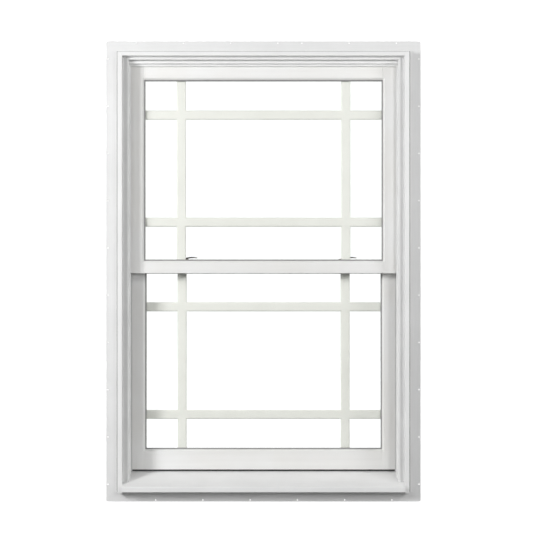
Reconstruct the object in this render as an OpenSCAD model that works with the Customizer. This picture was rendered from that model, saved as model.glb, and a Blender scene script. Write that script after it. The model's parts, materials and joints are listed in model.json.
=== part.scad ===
// Double-hung sash window with a nailing fin, for a framed wall opening.
// Millimetres. +X to the right seen from outdoors, -Y outdoors, +Z up.
// The origin is the middle of the frame outline, on the back plane of the nailing fin.

/* [Frame] */
// Width of the frame over the jambs
frame_w = 952; // [760:1:1250]
// Height of the frame, head to sill
frame_h = 1422; // [1150:1:1750]
// Thickness of the jamb boards
jamb_t = 19; // [16:0.5:24]
// Thickness of the head board
head_t = 19; // [16:0.5:24]
// Thickness of the jamb liner, jamb board to track
liner_t = 17; // [14:0.5:22]
// Wall of the hollow liner and of the cladding
skin_t = 2; // [1.2:0.1:2.4]
// How far the stops cover the edge of a sash
stop_cover = 9; // [6:0.5:12]
// Thickness of the interior stops
stop_t = 9; // [7:0.5:14]

/* [Nailing fin] */
// Reach of the fin beyond the frame
fin_reach = 31; // [24:0.5:40]
// Thickness of the fin
fin_t = 1.6; // [1:0.1:2]
// How far the fin is locked into the frame
fin_tongue = 8; // [6:0.5:8]
// Distance between nail holes
nail_pitch = 152.4; // [100:0.1:200]
// Radius of a nail hole
nail_r = 2.2; // [1.5:0.1:3]
// Nail hole to the outer edge of the fin
nail_edge = 5.5; // [4:0.1:9]
// Length of a corner patch past the frame corner line
patch_len = 32; // [20:1:60]

/* [Outdoor cladding] */
// Shadow step round the outside, its width on the jambs
step_w = 8; // [5:0.5:10]
// Shadow step width on the head
head_step_w = 6; // [4:0.5:8]
// How far the shadow step stands out from the fin plane
step_d = 8; // [5:0.5:12]
// How far the outer face stands out from the fin plane
face_d = 32; // [24:0.5:40]
// Width of the outer face on the jambs
face_w = 14.5; // [10:0.5:18]
// Width of the outer face on the head
head_face_w = 13; // [9:0.5:18]
// Width of the deep channel beside the outer face
channel_w = 13; // [9:0.5:15]
// Depth of the channel floor behind the fin plane, below zero where it lies in front
channel_d = -5; // [-7:0.5:18]
// Width of the raised ledge
ledge_w = 6.5; // [4:0.5:8]
// How far the ledge stands out from the fin plane
ledge_d = 10; // [4:0.5:16]
// Back of the blind stop, behind the fin plane
blind_d = 26; // [23:0.5:32]

/* [Sill] */
// Height of the sash seat above the bottom of the frame
seat_h = 59; // [50:0.5:75]
// Slope of the sill, in degrees
sill_slope = 15.4; // [8:0.1:17]
// How far the sill nose stands out from the fin plane
nose_d = 47; // [36:0.5:60]
// Height of the nose's underside above the bottom of the frame
nose_lift = 6; // [3:0.5:10]
// Height of the indoor lip above the sash seat
sill_lip = 16; // [8:0.5:24]

/* [Sashes] */
// Thickness of a sash
sash_t = 36; // [34:0.5:44]
// Width of a stile
stile_w = 53; // [46:0.5:66]
// Height of the top rail
top_rail_h = 53.5; // [44:0.5:66]
// Height of the upper sash's check rail, seen from outdoors
upper_check_h = 42.5; // [40:0.5:54]
// Height of the lower sash's check rail
lower_check_h = 33; // [28:0.5:42]
// Height of the bottom rail
bottom_rail_h = 68; // [56:0.5:84]
// Height over which the check rails overlap
check_overlap = 33.5; // [30:0.5:40]
// Width of the bevel round the glass
bevel_w = 7.5; // [4:0.5:9]
// Depth of the bevel round the glass
bevel_d = 8; // [4:0.5:9]
// Height of the finger lift's middle above the bottom of the lower sash
lift_z = 46; // [30:1:52]
// Length of the finger lift
lift_len = 360; // [200:1:460]

/* [Glass] */
// Thickness of a pane
pane_t = 3; // [2.5:0.1:4]
// Air space between the panes
air_t = 10; // [9:0.5:11]
// How far the panes reach under the frame of a sash
glass_bite = 11; // [8:0.5:12]
// Clearance round the edge of the glass
glass_clear = 2; // [1:0.5:3]
// Height of the spacer bar
spacer_h = 7; // [5:0.5:8]
// Width of a grille bar
bar_w = 31; // [18:0.5:36]
// Thickness of a grille bar
bar_t = 7; // [4:0.5:8]
// Middle of an upright bar to the edge of the glass seen
bar_side = 118; // [60:1:160]
// Middle of an outer cross bar to the edge of the glass seen
bar_end = 111; // [60:1:150]

/* [Balances] */
// Outer radius of a balance tube
tube_r = 5; // [4.5:0.1:5.5]
// Radius of the spiral rod
rod_r = 2.5; // [2:0.1:3]
// Depth of the plough that takes the balance, from the edge of a stile
plough_d = 16; // [14:0.5:18]
// Width of the plough
plough_w = 13; // [12.5:0.5:15]
// Room above a rod in its tube with the sash fully moved, which sets the travel
rod_stop = 34; // [6:1:60]
// Length of rod that stays in its tube at the other end of the travel
engage = 30; // [20:1:60]

/* [Lock] */
// Middle of a lock to the middle of the window
lock_x = 261; // [150:1:300]
// Length of the lock body
lock_len = 60; // [56:1:70]
// Height of the lock body
lock_h = 11; // [10:0.5:13]
// Reach of the lever from its pivot
lever_len = 44; // [36:1:54]
// Reach of the cam from its pivot
cam_reach = 18.5; // [14:0.1:20]
// Radius of the spindle
spindle_r = 4; // [3:0.1:4.5]

/* [Clearances] */
// Sash edge to track
track_gap = 1; // [0.5:0.1:2]
// Sash to the stops in front of it and behind it
stop_gap = 2; // [1:0.1:3]
// Sash to the parting stop
rib_gap = 0.5; // [0.3:0.1:1]
// Indoor side of the lower sash to the interior stop
inner_gap = 1; // [0.5:0.1:2]
// Lower sash to the sill seat
seat_gap = 3.5; // [2.5:0.1:5]
// Weatherstrip or lever to the piece that slides past it
brush_gap = 0.3; // [0.2:0.05:0.5]
// Spindle in the lock body, on the radius
spindle_gap = 0.08; // [0.02:0.01:0.1]
// Screw in its hole, on the radius
screw_gap = 0.1; // [0.05:0.01:0.2]
// End of a cross bead to the bead beside it
bead_gap = 0.2; // [0.1:0.05:0.5]

/* [Hidden] */
$fn = 48;

LEFT = -1;
RIGHT = 1;
// Margin by which a cutting solid passes the surface that it cuts
over = 5;
// Farther than any part of the window
far = 3000;

white = [0.93, 0.93, 0.92];
vinyl = [0.90, 0.91, 0.91];
pine = [0.85, 0.72, 0.52];
bar_white = [0.90, 0.90, 0.86];
bronze = [0.24, 0.23, 0.21];
steel = [0.72, 0.73, 0.75];
glass = [0.80, 0.90, 0.90, 0.35];

// Frame outline and the boards inside it
half_w = frame_w / 2;
half_h = frame_h / 2;
jamb_x = half_w - jamb_t;
track_x = jamb_x - liner_t;
sash_x = track_x - track_gap;
stop_x = sash_x - stop_cover;
head_z = half_h - head_t;
track_z = head_z - liner_t;
sash_top = track_z - track_gap;
stop_z = sash_top - stop_cover;

// Places through the depth of the frame, from outdoors to indoors
upper_y = blind_d + stop_gap;
rib_t = 5;
rib_y = upper_y + sash_t + rib_gap;
lower_y = rib_y + rib_t + rib_gap;
inner_y = lower_y + sash_t + inner_gap;
jamb_d = inner_y + stop_t;

// Sill
seat_z = -half_h + seat_h;
seat_step = 1.5;
seat_set_in = 8;
seat_y = lower_y + seat_set_in;
lip_z = seat_z + sill_lip;
sash_bottom = seat_z + seat_gap;
function slope_z(y) = seat_z - seat_step - (seat_y - y) * tan(sill_slope);

// Places across the side cladding, inwards from the frame edge
face_x0 = half_w - step_w;
face_x1 = face_x0 - face_w;
ledge_x0 = face_x1 - channel_w;
ledge_x1 = ledge_x0 - ledge_w;
// Places down the head cladding
face_z0 = half_h - head_step_w;
face_z1 = face_z0 - head_face_w;
groove_w = 3;
groove_y = -7;
ledge_z0 = face_z1 - groove_w;
ledge_z1 = ledge_z0 - ledge_w;
head_steps_w = 3.5;
blind_t = 6;
cap_lift = 7;
cap_floor_y = 12;
cap_z0 = ledge_z1 - head_steps_w;
cap_z1 = stop_z + cap_lift;
cap_y = 6;
lip_y = blind_d - blind_t;

// Heights of the two sashes
check_drop = 1.5;
check_z = (sash_top + sash_bottom) / 2 - check_drop;
lower_top = check_z + check_overlap / 2;
upper_bottom = check_z - check_overlap / 2;

// Opening of glass that is seen in each sash, and the groove round it
light_x = sash_x - stile_w;
upper_light_z0 = upper_bottom + upper_check_h;
upper_light_z1 = sash_top - top_rail_h;
lower_light_z0 = sash_bottom + bottom_rail_h;
lower_light_z1 = lower_top - lower_check_h;
rebate = glass_bite + glass_clear;
lip_t = 10;
glass_seal = 2;
unit_t = 2 * pane_t + air_t;
bead_y = lip_t + unit_t;
check_bite = 17;

// Balances
balance_in = 7;
tube_clear = 2;
tube_drop = 5;
balance_x = sash_x - balance_in;
upper_balance_y = upper_y + sash_t / 2;
lower_balance_y = lower_y + sash_t / 2;
tube_bore_r = tube_r - 1;
tube_top = stop_z - tube_drop;
tube_block = 16;
tube_bottom = lower_top + tube_clear;
bracket_t = 2;
rod_top = tube_top - tube_block - rod_stop;
balance_screw_z = tube_top - tube_block / 2;
balance_screw_r = 1.7;
balance_head_r = 3.4;
balance_head_h = 2.4;

// Screws that hold the corners of the frame
frame_screw_r = 2.2;
frame_screw_len = 60;
frame_head_r = 4.4;
frame_head_h = 2.4;
frame_screw_ys = [jamb_d * 0.28, jamb_d * 0.78];
frame_screw_head_z = half_h - head_t / 2;
frame_screw_sill_z = -half_h + 18;

// Locks
lock_z = lower_top;
lock_set_in = 1;
lock_wall = 2;
cam_wall_clear = 1.5;
cam_lift = 5;
keeper_t = 2;
keeper_clear = 0.5;
keeper_min_y = upper_y + bead_y + keeper_clear;
keeper_y1 = upper_y + sash_t;
cam_clear = 2;
pivot_in = 7;
// The pivot keeps its place on the lower sash, and the keeper always clears the glass
pivot_y = max(lower_y + pivot_in, keeper_min_y + keeper_t + cam_clear + cam_reach);
keeper_y0 = pivot_y - cam_reach - cam_clear - keeper_t;
lock_y0 = lower_y + lock_set_in;
lock_y1 = pivot_y + cam_reach + cam_wall_clear + lock_wall;
lock_top = lock_z + lock_h;
lock_plate = 1.5;
cam_z0 = lock_z + cam_lift;
cam_z1 = lock_top - lock_plate - 0.5;
cam_r = 10;
cavity_x0 = cam_reach + cam_wall_clear;
cavity_x1 = cam_r + 1;
lever_z = lock_top + brush_gap;
keeper_roof_z = cam_z1 + cam_clear;
small_screw_r = 1.8;
small_head_r = 3.2;
small_head_h = 1.4;
small_screw_len = 14;
small_screw_in = 5;

// ---------------------------------------------------------------- helpers

// A section drawn as (y, z), run along X from x0 to x1
module run_x(x0, x1) {
    translate([x0, 0, 0]) rotate([90, 0, 90]) linear_extrude(x1 - x0) children();
}

// A section drawn as (x, y), run up Z from z0 to z1
module run_z(z0, z1) {
    translate([0, 0, z0]) linear_extrude(z1 - z0) children();
}

// A box between two opposite corners
module block(a, b) {
    translate([min(a[0], b[0]), min(a[1], b[1]), min(a[2], b[2])])
        cube([abs(b[0] - a[0]), abs(b[1] - a[1]), abs(b[2] - a[2])]);
}

// The same piece on the left or on the right of the window
module hand(side) {
    if (side == LEFT) mirror([1, 0, 0]) children();
    else children();
}

// A rod along X, starting at x and running towards the middle of the window
module inward(x, len, r) {
    translate([x - len, 0, 0]) rotate([0, 90, 0]) cylinder(r = r, h = len);
}

// Everything below the top of the sill, out to |x| = reach and behind y0
module below_sill(reach, y0) {
    run_x(-reach, reach) polygon([
        [y0, slope_z(y0)], [seat_y, slope_z(seat_y)], [seat_y, seat_z], [inner_y, seat_z],
        [inner_y, lip_z], [far, lip_z], [far, -far], [y0, -far]
    ]);
}

// Holes for the corner screws, seen from the right jamb
module frame_screw_holes() {
    for (y = frame_screw_ys, z = [frame_screw_head_z, frame_screw_sill_z]) translate([0, y, z]) {
        inward(half_w + over, frame_screw_len + over, frame_screw_r + screw_gap);
        inward(half_w + over, frame_head_h + over, frame_head_r + screw_gap);
    }
}

// Holes for the screws that hold the balance tubes, seen from the right
module balance_screw_holes() {
    for (y = [upper_balance_y, lower_balance_y]) translate([0, y, balance_screw_z])
        inward(half_w - 4, half_w - 4 - balance_x + tube_r + over, balance_screw_r + screw_gap);
}

// ---------------------------------------------------------------- frame boards

module jamb(side) {
    color(pine) hand(side) difference() {
        block([jamb_x, 0, -half_h], [half_w, jamb_d, half_h]);
        frame_screw_holes();
        balance_screw_holes();
    }
}

module head_jamb() {
    color(pine) difference() {
        block([-jamb_x, 0, head_z], [jamb_x, jamb_d, half_h]);
        for (side = [LEFT, RIGHT]) hand(side) frame_screw_holes();
    }
}

module sill() {
    color(pine) difference() {
        run_x(-jamb_x, jamb_x) polygon([
            [0, -half_h], [jamb_d, -half_h], [jamb_d, lip_z], [inner_y, lip_z],
            [inner_y, seat_z], [seat_y, seat_z], [seat_y, slope_z(seat_y) - skin_t],
            [0, slope_z(0) - skin_t]
        ]);
        for (side = [LEFT, RIGHT]) hand(side) frame_screw_holes();
    }
}

// ---------------------------------------------------------------- outdoor cladding

module side_cladding(side) {
    color(white) hand(side) difference() {
        run_z(-half_h, half_h) polygon([
            [half_w, -fin_t], [half_w, -step_d], [face_x0, -step_d], [face_x0, -face_d],
            [face_x1, -face_d], [face_x1, channel_d], [ledge_x0, channel_d],
            [ledge_x0, -ledge_d], [ledge_x1, -ledge_d], [ledge_x1, lip_y],
            [stop_x, lip_y], [stop_x, blind_d], [jamb_x, blind_d], [jamb_x, 0],
            [half_w - fin_tongue, 0], [half_w - fin_tongue, -fin_t]
        ]);
        // Hollow of the outer face, closed at the top
        block([face_x0 - skin_t, -face_d + skin_t, -far],
              [face_x1 + skin_t, -skin_t, face_z0 - skin_t]);
        // Hollow behind the channel floor
        block([face_x1 - skin_t, channel_d + skin_t, -far],
              [ledge_x0 + skin_t, blind_d - skin_t, far]);
        // The shadow step turns the top corner
        block([0, -far, face_z0], [far, -step_d, far]);
        // The inner steps stop under the head cladding, one by one
        block([0, -far, face_z1], [face_x1, far, far]);
        block([0, -far, ledge_z1], [ledge_x0, far, far]);
        block([0, -far, stop_z], [ledge_x1, far, far]);
        block([0, 0, head_z], [jamb_x, far, far]);
        // They stand on the slope of the sill, and only the outer face runs past its end
        difference() {
            below_sill(jamb_x, -far);
            block([face_x1, -2 * far, -2 * far], [far, 0, 2 * far]);
        }
    }
}

module head_cladding() {
    color(white) difference() {
        run_x(-face_x1, face_x1) difference() {
            polygon([
                [-fin_t, half_h], [-step_d, half_h], [-step_d, face_z0], [-face_d, face_z0],
                [-face_d, face_z1], [groove_y, face_z1], [groove_y, ledge_z0],
                [-ledge_d, ledge_z0], [-ledge_d, ledge_z1], [cap_floor_y, ledge_z1],
                [cap_floor_y, cap_z0], [cap_y, cap_z0], [cap_y, cap_z1], [lip_y, cap_z1],
                [lip_y, stop_z], [blind_d, stop_z], [blind_d, head_z], [0, head_z],
                [0, half_h - fin_tongue], [-fin_t, half_h - fin_tongue]
            ]);
            // Hollow of the outer face
            polygon([
                [-face_d + skin_t, face_z0 - skin_t], [-skin_t - fin_t, face_z0 - skin_t],
                [-skin_t - fin_t, face_z1 + skin_t], [-face_d + skin_t, face_z1 + skin_t]
            ]);
        }
        for (side = [LEFT, RIGHT]) hand(side) {
            block([ledge_x0, -far, -far], [far, far, face_z1]);
            block([ledge_x1, -far, -far], [far, far, ledge_z1]);
        }
    }
}

module sill_cladding() {
    nose_top = slope_z(-nose_d);
    nose_low = -half_h + nose_lift;
    solid_nose = nose_d - face_d + skin_t;
    color(white) union() {
        run_x(-face_x1, face_x1) difference() {
            polygon([
                [-fin_t, -half_h], [-step_d, -half_h], [-step_d, nose_low], [-nose_d, nose_low],
                [-nose_d, nose_top - 1.5], [-nose_d + 1.5, slope_z(-nose_d + 1.5)],
                [seat_y, slope_z(seat_y)], [seat_y, slope_z(seat_y) - skin_t],
                [0, slope_z(0) - skin_t], [0, -half_h + fin_tongue], [-fin_t, -half_h + fin_tongue]
            ]);
            polygon([
                [-nose_d + solid_nose, nose_low + skin_t],
                [-nose_d + solid_nose, slope_z(-nose_d + solid_nose) - skin_t],
                [-fin_t - skin_t, slope_z(-fin_t - skin_t) - skin_t],
                [-fin_t - skin_t, nose_low + skin_t]
            ]);
        }
        run_x(-jamb_x, jamb_x) polygon([
            [0, slope_z(0)], [seat_y, slope_z(seat_y)],
            [seat_y, slope_z(seat_y) - skin_t], [0, slope_z(0) - skin_t]
        ]);
    }
}

// ---------------------------------------------------------------- nailing fin

function side_nails() =
    let (last = floor((half_h - nail_edge) / nail_pitch - 0.5))
    [for (i = [0:last], s = [-1, 1]) s * (i + 0.5) * nail_pitch];

// The head strip is punched from both ends, the sill strip from the left end only
head_from_left = 65;
head_from_right = 47.4;
sill_from_left = 128.1;
function head_nails() = concat(
    [for (i = [0:floor(half_w / nail_pitch)]) -half_w + head_from_left + i * nail_pitch],
    [for (i = [0:floor(half_w / nail_pitch) - 1]) half_w - head_from_right - i * nail_pitch]
);
function sill_nails() =
    [for (x = [-half_w + sill_from_left : nail_pitch : half_w - patch_len]) x];

module nail_hole(x, z) {
    translate([x, over, z]) rotate([90, 0, 0]) cylinder(r = nail_r, h = 2 * over);
}

module side_nail_fin(side) {
    color(vinyl) hand(side) difference() {
        block([half_w - fin_tongue, -fin_t, -half_h], [half_w + fin_reach, 0, half_h]);
        for (z = side_nails()) nail_hole(half_w + fin_reach - nail_edge, z);
    }
}

// Fin above the head or below the sill; up is 1 or -1
module end_nail_fin(up, nails) {
    color(vinyl) difference() {
        union() {
            block([-half_w + patch_len, -fin_t, up * half_h],
                  [half_w - patch_len, 0, up * (half_h + fin_reach)]);
            block([-half_w + patch_len, -fin_t, up * (half_h - fin_tongue)],
                  [half_w - patch_len, 0, up * (half_h + over)]);
        }
        for (x = nails) if (abs(x) < half_w - patch_len - nail_r - 1)
            nail_hole(x, up * (half_h + fin_reach - nail_edge));
    }
}

module fin_corner_patches() {
    round_r = 5;
    x0 = half_w - patch_len;
    x1 = half_w + fin_reach;
    z1 = half_h + fin_reach;
    color(vinyl) for (side = [LEFT, RIGHT], up = [1, -1]) hand(side)
        mirror([0, 0, up == 1 ? 0 : 1]) rotate([90, 0, 0])
        linear_extrude(fin_t) union() {
            translate([x0, half_h]) square([x1 - x0 - round_r, fin_reach]);
            translate([x0, half_h]) square([x1 - x0, fin_reach - round_r]);
            translate([x1 - round_r, z1 - round_r]) circle(r = round_r);
        }
}

// ---------------------------------------------------------------- jamb and head liners

module jamb_liner(side) {
    mid_y = rib_y + rib_t / 2;
    color(vinyl) hand(side) difference() {
        run_z(-half_h, head_z) difference() {
            union() {
                translate([track_x, blind_d]) square([liner_t, inner_y - blind_d]);
                translate([stop_x, rib_y]) square([stop_cover + track_gap + over, rib_t]);
            }
            // Two hollow chambers, one behind each track
            translate([track_x + skin_t, blind_d + skin_t])
                square([liner_t - 2 * skin_t, mid_y - blind_d - 1.5 * skin_t]);
            translate([track_x + skin_t, mid_y + skin_t / 2])
                square([liner_t - 2 * skin_t, inner_y - mid_y - 1.5 * skin_t]);
        }
        block([0, -far, track_z], [track_x, far, far]);
        below_sill(jamb_x, -far);
        balance_screw_holes();
    }
}

module head_liner() {
    color(vinyl) difference() {
        run_x(-track_x, track_x) difference() {
            union() {
                translate([blind_d, track_z]) square([inner_y - blind_d, liner_t]);
                translate([rib_y, stop_z]) square([rib_t, stop_cover + track_gap + over]);
            }
            translate([blind_d + skin_t, track_z + skin_t])
                square([inner_y - blind_d - 2 * skin_t, liner_t - 2 * skin_t]);
        }
        for (side = [LEFT, RIGHT]) hand(side)
            block([stop_x, -far, -far], [far, far, track_z]);
    }
}

module side_interior_stop(side) {
    color(white) hand(side) block([stop_x, inner_y, lip_z], [jamb_x, jamb_d, head_z]);
}

module head_interior_stop() {
    color(white) block([-stop_x, inner_y, stop_z], [stop_x, jamb_d, head_z]);
}

module head_weatherstrip() {
    color(vinyl) block([-stop_x + 4, blind_d, stop_z + 1],
                       [stop_x - 4, upper_y - brush_gap, sash_top - 1]);
}

// ---------------------------------------------------------------- sashes

// The hollow that the glass, its bevel and its beads leave in a sash.
// z0 and z1 bound the glass seen; groove is the depth of the groove below it
// and bead_z0 the bottom of the space for the beads.
module glazing_hollow(y, z0, z1, groove, bead_z0) {
    function flare(d) = bevel_w * (bevel_d - d) / bevel_d;
    union() {
        intersection() {
            run_z(z0 - 2 * bevel_w, z1 + 2 * bevel_w) polygon([
                [-light_x - flare(-1), y - 1], [light_x + flare(-1), y - 1],
                [light_x, y + bevel_d], [-light_x, y + bevel_d]
            ]);
            run_x(-light_x - 2 * bevel_w, light_x + 2 * bevel_w) polygon([
                [y - 1, z0 - flare(-1)], [y - 1, z1 + flare(-1)],
                [y + bevel_d, z1], [y + bevel_d, z0]
            ]);
        }
        block([-light_x, y + bevel_d - 0.5, z0], [light_x, y + lip_t + 1, z1]);
        block([-light_x - rebate, y + lip_t, z0 - groove],
              [light_x + rebate, y + bead_y, z1 + rebate]);
        block([-light_x - rebate, y + bead_y - 1, bead_z0],
              [light_x + rebate, y + sash_t + over, z1 + rebate]);
    }
}

module upper_hollow() {
    glazing_hollow(upper_y, upper_light_z0, upper_light_z1, check_bite + glass_clear, lower_top);
}

module lower_hollow() {
    glazing_hollow(lower_y, lower_light_z0, lower_light_z1, rebate, lower_light_z0 - rebate);
}

// One stile with the plough for its balance
module stile(side, y, z0, z1) {
    color(white) difference() {
        hand(side) difference() {
            block([light_x, y, z0], [sash_x, y + sash_t, z1]);
            block([sash_x - plough_d, y + sash_t / 2 - plough_w / 2, z0 - over],
                  [sash_x + over, y + sash_t / 2 + plough_w / 2, z1 + over]);
        }
        children();
    }
}

module rail(y, z0, z1) {
    color(white) difference() {
        block([-light_x, y, z0], [light_x, y + sash_t, z1]);
        children();
    }
}

module upper_check_rail() {
    rail(upper_y, upper_bottom, upper_light_z0) {
        upper_hollow();
        small_screw_holes(lower_top, (keeper_y0 + keeper_y1) / 2);
    }
}

module lower_check_rail() {
    rail(lower_y, lower_light_z1, lower_top) {
        lower_hollow();
        small_screw_holes(lower_top, (lock_y0 + lock_y1) / 2);
    }
}

// The bottom rail carries the finger lift on its indoor face
module lower_bottom_rail() {
    z = sash_bottom + lift_z;
    y = lower_y + sash_t;
    lift_out = 13;
    color(white) union() {
        difference() {
            block([-light_x, lower_y, sash_bottom], [light_x, y, lower_light_z0]);
            lower_hollow();
        }
        run_x(-lift_len / 2, lift_len / 2) polygon([
            [y - 2, z - 9], [y, z - 9], [y + lift_out - 3, z + 1], [y + lift_out - 3, z - 3],
            [y + lift_out, z - 3], [y + lift_out, z + 4], [y, z + 4], [y - 2, z + 4]
        ]);
    }
}

// A pane; inner is 0 for the outdoor one and 1 for the indoor one
module pane(y, z0, z1, inner) {
    y0 = y + lip_t + inner * (pane_t + air_t);
    color(glass) block([-light_x - glass_bite, y0, z0], [light_x + glass_bite, y0 + pane_t, z1]);
}

module spacer(y, z0, z1) {
    x = light_x + glass_bite - glass_seal;
    y0 = y + lip_t + pane_t;
    color(steel) difference() {
        block([-x, y0, z0 + glass_seal], [x, y0 + air_t, z1 - glass_seal]);
        block([-x + spacer_h, y0 - 1, z0 + glass_seal + spacer_h],
              [x - spacer_h, y0 + air_t + 1, z1 - glass_seal - spacer_h]);
    }
}

// Two upright and two cross bars between the panes, with sloped edges.
// z0 and z1 are the spacer's inner edges, cross the heights of the cross bars.
module grille(y, z0, z1, cross) {
    x1 = light_x + glass_bite - glass_seal - spacer_h;
    y0 = y + lip_t + pane_t + air_t / 2;
    edge = 3.5;
    half = [bar_w / 2, bar_t / 2];
    section = [
        [-half[0], 0], [-half[0] + edge, -half[1]], [half[0] - edge, -half[1]],
        [half[0], 0], [half[0] - edge, half[1]], [-half[0] + edge, half[1]]
    ];
    color(bar_white) union() {
        for (x = [-light_x + bar_side, light_x - bar_side])
            run_z(z0, z1) polygon([for (p = section) [x + p[0], y0 + p[1]]]);
        for (z = cross)
            run_x(-x1, x1) polygon([for (p = section) [y0 + p[1], z + p[0]]]);
    }
}

// Bead section, as the distance from the groove edge and the depth
bead_depth = sash_t - bead_y;
bead = [[0, 0], [rebate, 0], [rebate, 3], [rebate - 6, bead_depth], [0, bead_depth]];

module side_beads(y, z0, z1) {
    for (side = [LEFT, RIGHT]) hand(side) run_z(z0, z1)
        polygon([for (p = bead) [light_x + rebate - p[0], y + bead_y + p[1]]]);
}

// A bead across the sash: z is the groove edge and up is the way it faces
module cross_bead(y, z, up) {
    run_x(-light_x + bead_gap, light_x - bead_gap)
        polygon([for (p = bead) [y + bead_y + p[1], z + up * p[0]]]);
}

module upper_glazing_beads() {
    color(white) {
        side_beads(upper_y, lower_top, upper_light_z1 + rebate);
        cross_bead(upper_y, upper_light_z1 + rebate, -1);
    }
}

module lower_glazing_beads() {
    color(white) {
        side_beads(lower_y, lower_light_z0 - rebate, lower_light_z1 + rebate);
        cross_bead(lower_y, lower_light_z1 + rebate, -1);
        cross_bead(lower_y, lower_light_z0 - rebate, 1);
    }
}

module check_rail_weatherstrip() {
    strip_h = 7;
    color(vinyl) block([-light_x, upper_y + sash_t, check_z - strip_h],
                       [light_x, lower_y - brush_gap, check_z]);
}

module bottom_weatherstrip() {
    strip_w = 14;
    y0 = seat_y + 6;
    color(vinyl) block([-light_x, y0, seat_z + brush_gap], [light_x, y0 + strip_w, sash_bottom]);
}

// ---------------------------------------------------------------- balances

module balance_tube(side, y) {
    block_w = 8;
    color(steel) hand(side) translate([0, y, 0]) difference() {
        union() {
            translate([balance_x, 0, tube_bottom])
                cylinder(r = tube_r, h = tube_top - tube_block - tube_bottom + 1);
            block([balance_x - tube_r, -block_w / 2, tube_top - tube_block],
                  [track_x, block_w / 2, tube_top]);
        }
        translate([balance_x, 0, tube_bottom - over])
            cylinder(r = tube_bore_r, h = tube_top - tube_block - 3 - tube_bottom + over);
        translate([0, 0, balance_screw_z])
            inward(track_x + over, track_x + 2 * over - balance_x + tube_r,
                   balance_screw_r + screw_gap);
    }
}

module balance_screws() {
    x0 = balance_x - tube_r;
    color(steel) for (side = [LEFT, RIGHT], y = [upper_balance_y, lower_balance_y])
        hand(side) translate([0, y, balance_screw_z]) union() {
            inward(x0, balance_head_h, balance_head_r);
            inward(half_w - 5, half_w - 5 - x0 + 1, balance_screw_r);
        }
}

module frame_screws() {
    color(steel) for (side = [LEFT, RIGHT]) hand(side)
        for (y = frame_screw_ys, z = [frame_screw_head_z, frame_screw_sill_z])
            translate([0, y, z]) union() {
                inward(half_w, frame_head_h, frame_head_r);
                inward(half_w - 1, frame_screw_len - 1, frame_screw_r);
            }
}

module balance_rod(side, y, z0, z1) {
    color(steel) hand(side) translate([balance_x, y, z0]) cylinder(r = rod_r, h = z1 - z0);
}

module balance_brackets(y, z) {
    leg = 26;
    x0 = sash_x - plough_d;
    half = plough_w / 2 - 0.5;
    color(steel) for (side = [LEFT, RIGHT]) hand(side) union() {
        block([x0, y - half, z], [sash_x - 1, y + half, z + bracket_t]);
        block([x0, y - half, z], [x0 + bracket_t, y + half, z + leg]);
    }
}

// ---------------------------------------------------------------- locks

// Holes for the screws of both locks or both keepers
module small_screw_holes(z, y) {
    for (x = [-lock_x, lock_x], s = [-1, 1])
        translate([x + s * (lock_len / 2 - small_screw_in), y, z - small_screw_len])
            cylinder(r = small_screw_r + screw_gap, h = small_screw_len + lock_h + over);
}

// Screws whose heads sit at z_head and whose tips stand in a rail
module small_screws(z_head, y, z_rail) {
    for (x = [-lock_x, lock_x], s = [-1, 1])
        translate([x + s * (lock_len / 2 - small_screw_in), y, 0]) union() {
            translate([0, 0, z_head]) cylinder(r = small_head_r, h = small_head_h);
            translate([0, 0, z_rail - small_screw_len + 2])
                cylinder(r = small_screw_r, h = z_head - z_rail + small_screw_len - 1);
        }
}

module lock_body(x) {
    corner = 4;
    depth = lock_y1 - lock_y0;
    color(bronze) difference() {
        translate([x - lock_len / 2, lock_y0, lock_z]) linear_extrude(lock_h) union() {
            translate([corner, 0]) square([lock_len - 2 * corner, depth]);
            translate([0, corner]) square([lock_len, depth - 2 * corner]);
            for (cx = [corner, lock_len - corner], cy = [corner, depth - corner])
                translate([cx, cy]) circle(r = corner);
        }
        // Room for the cam, open towards the keeper
        block([x - cavity_x0, lock_y0 - over, lock_z - over],
              [x + cavity_x1, lock_y1 - lock_wall, lock_top - lock_plate]);
        translate([x, pivot_y, lock_z]) cylinder(r = spindle_r + spindle_gap, h = lock_h + over);
        small_screw_holes(lock_z, (lock_y0 + lock_y1) / 2);
    }
}

module keeper(x) {
    roof_half = cavity_x1 + 5;
    color(bronze) difference() {
        union() {
            block([x - lock_len / 2, keeper_y0, lower_top],
                  [x + lock_len / 2, keeper_y1, lower_top + keeper_t]);
            block([x - roof_half, keeper_y0, lower_top],
                  [x + roof_half, keeper_y0 + keeper_t, keeper_roof_z + keeper_t]);
            block([x - roof_half, keeper_y0, keeper_roof_z],
                  [x + roof_half, keeper_y1 - 1, keeper_roof_z + keeper_t]);
        }
        small_screw_holes(lower_top, (keeper_y0 + keeper_y1) / 2);
    }
}

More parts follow.
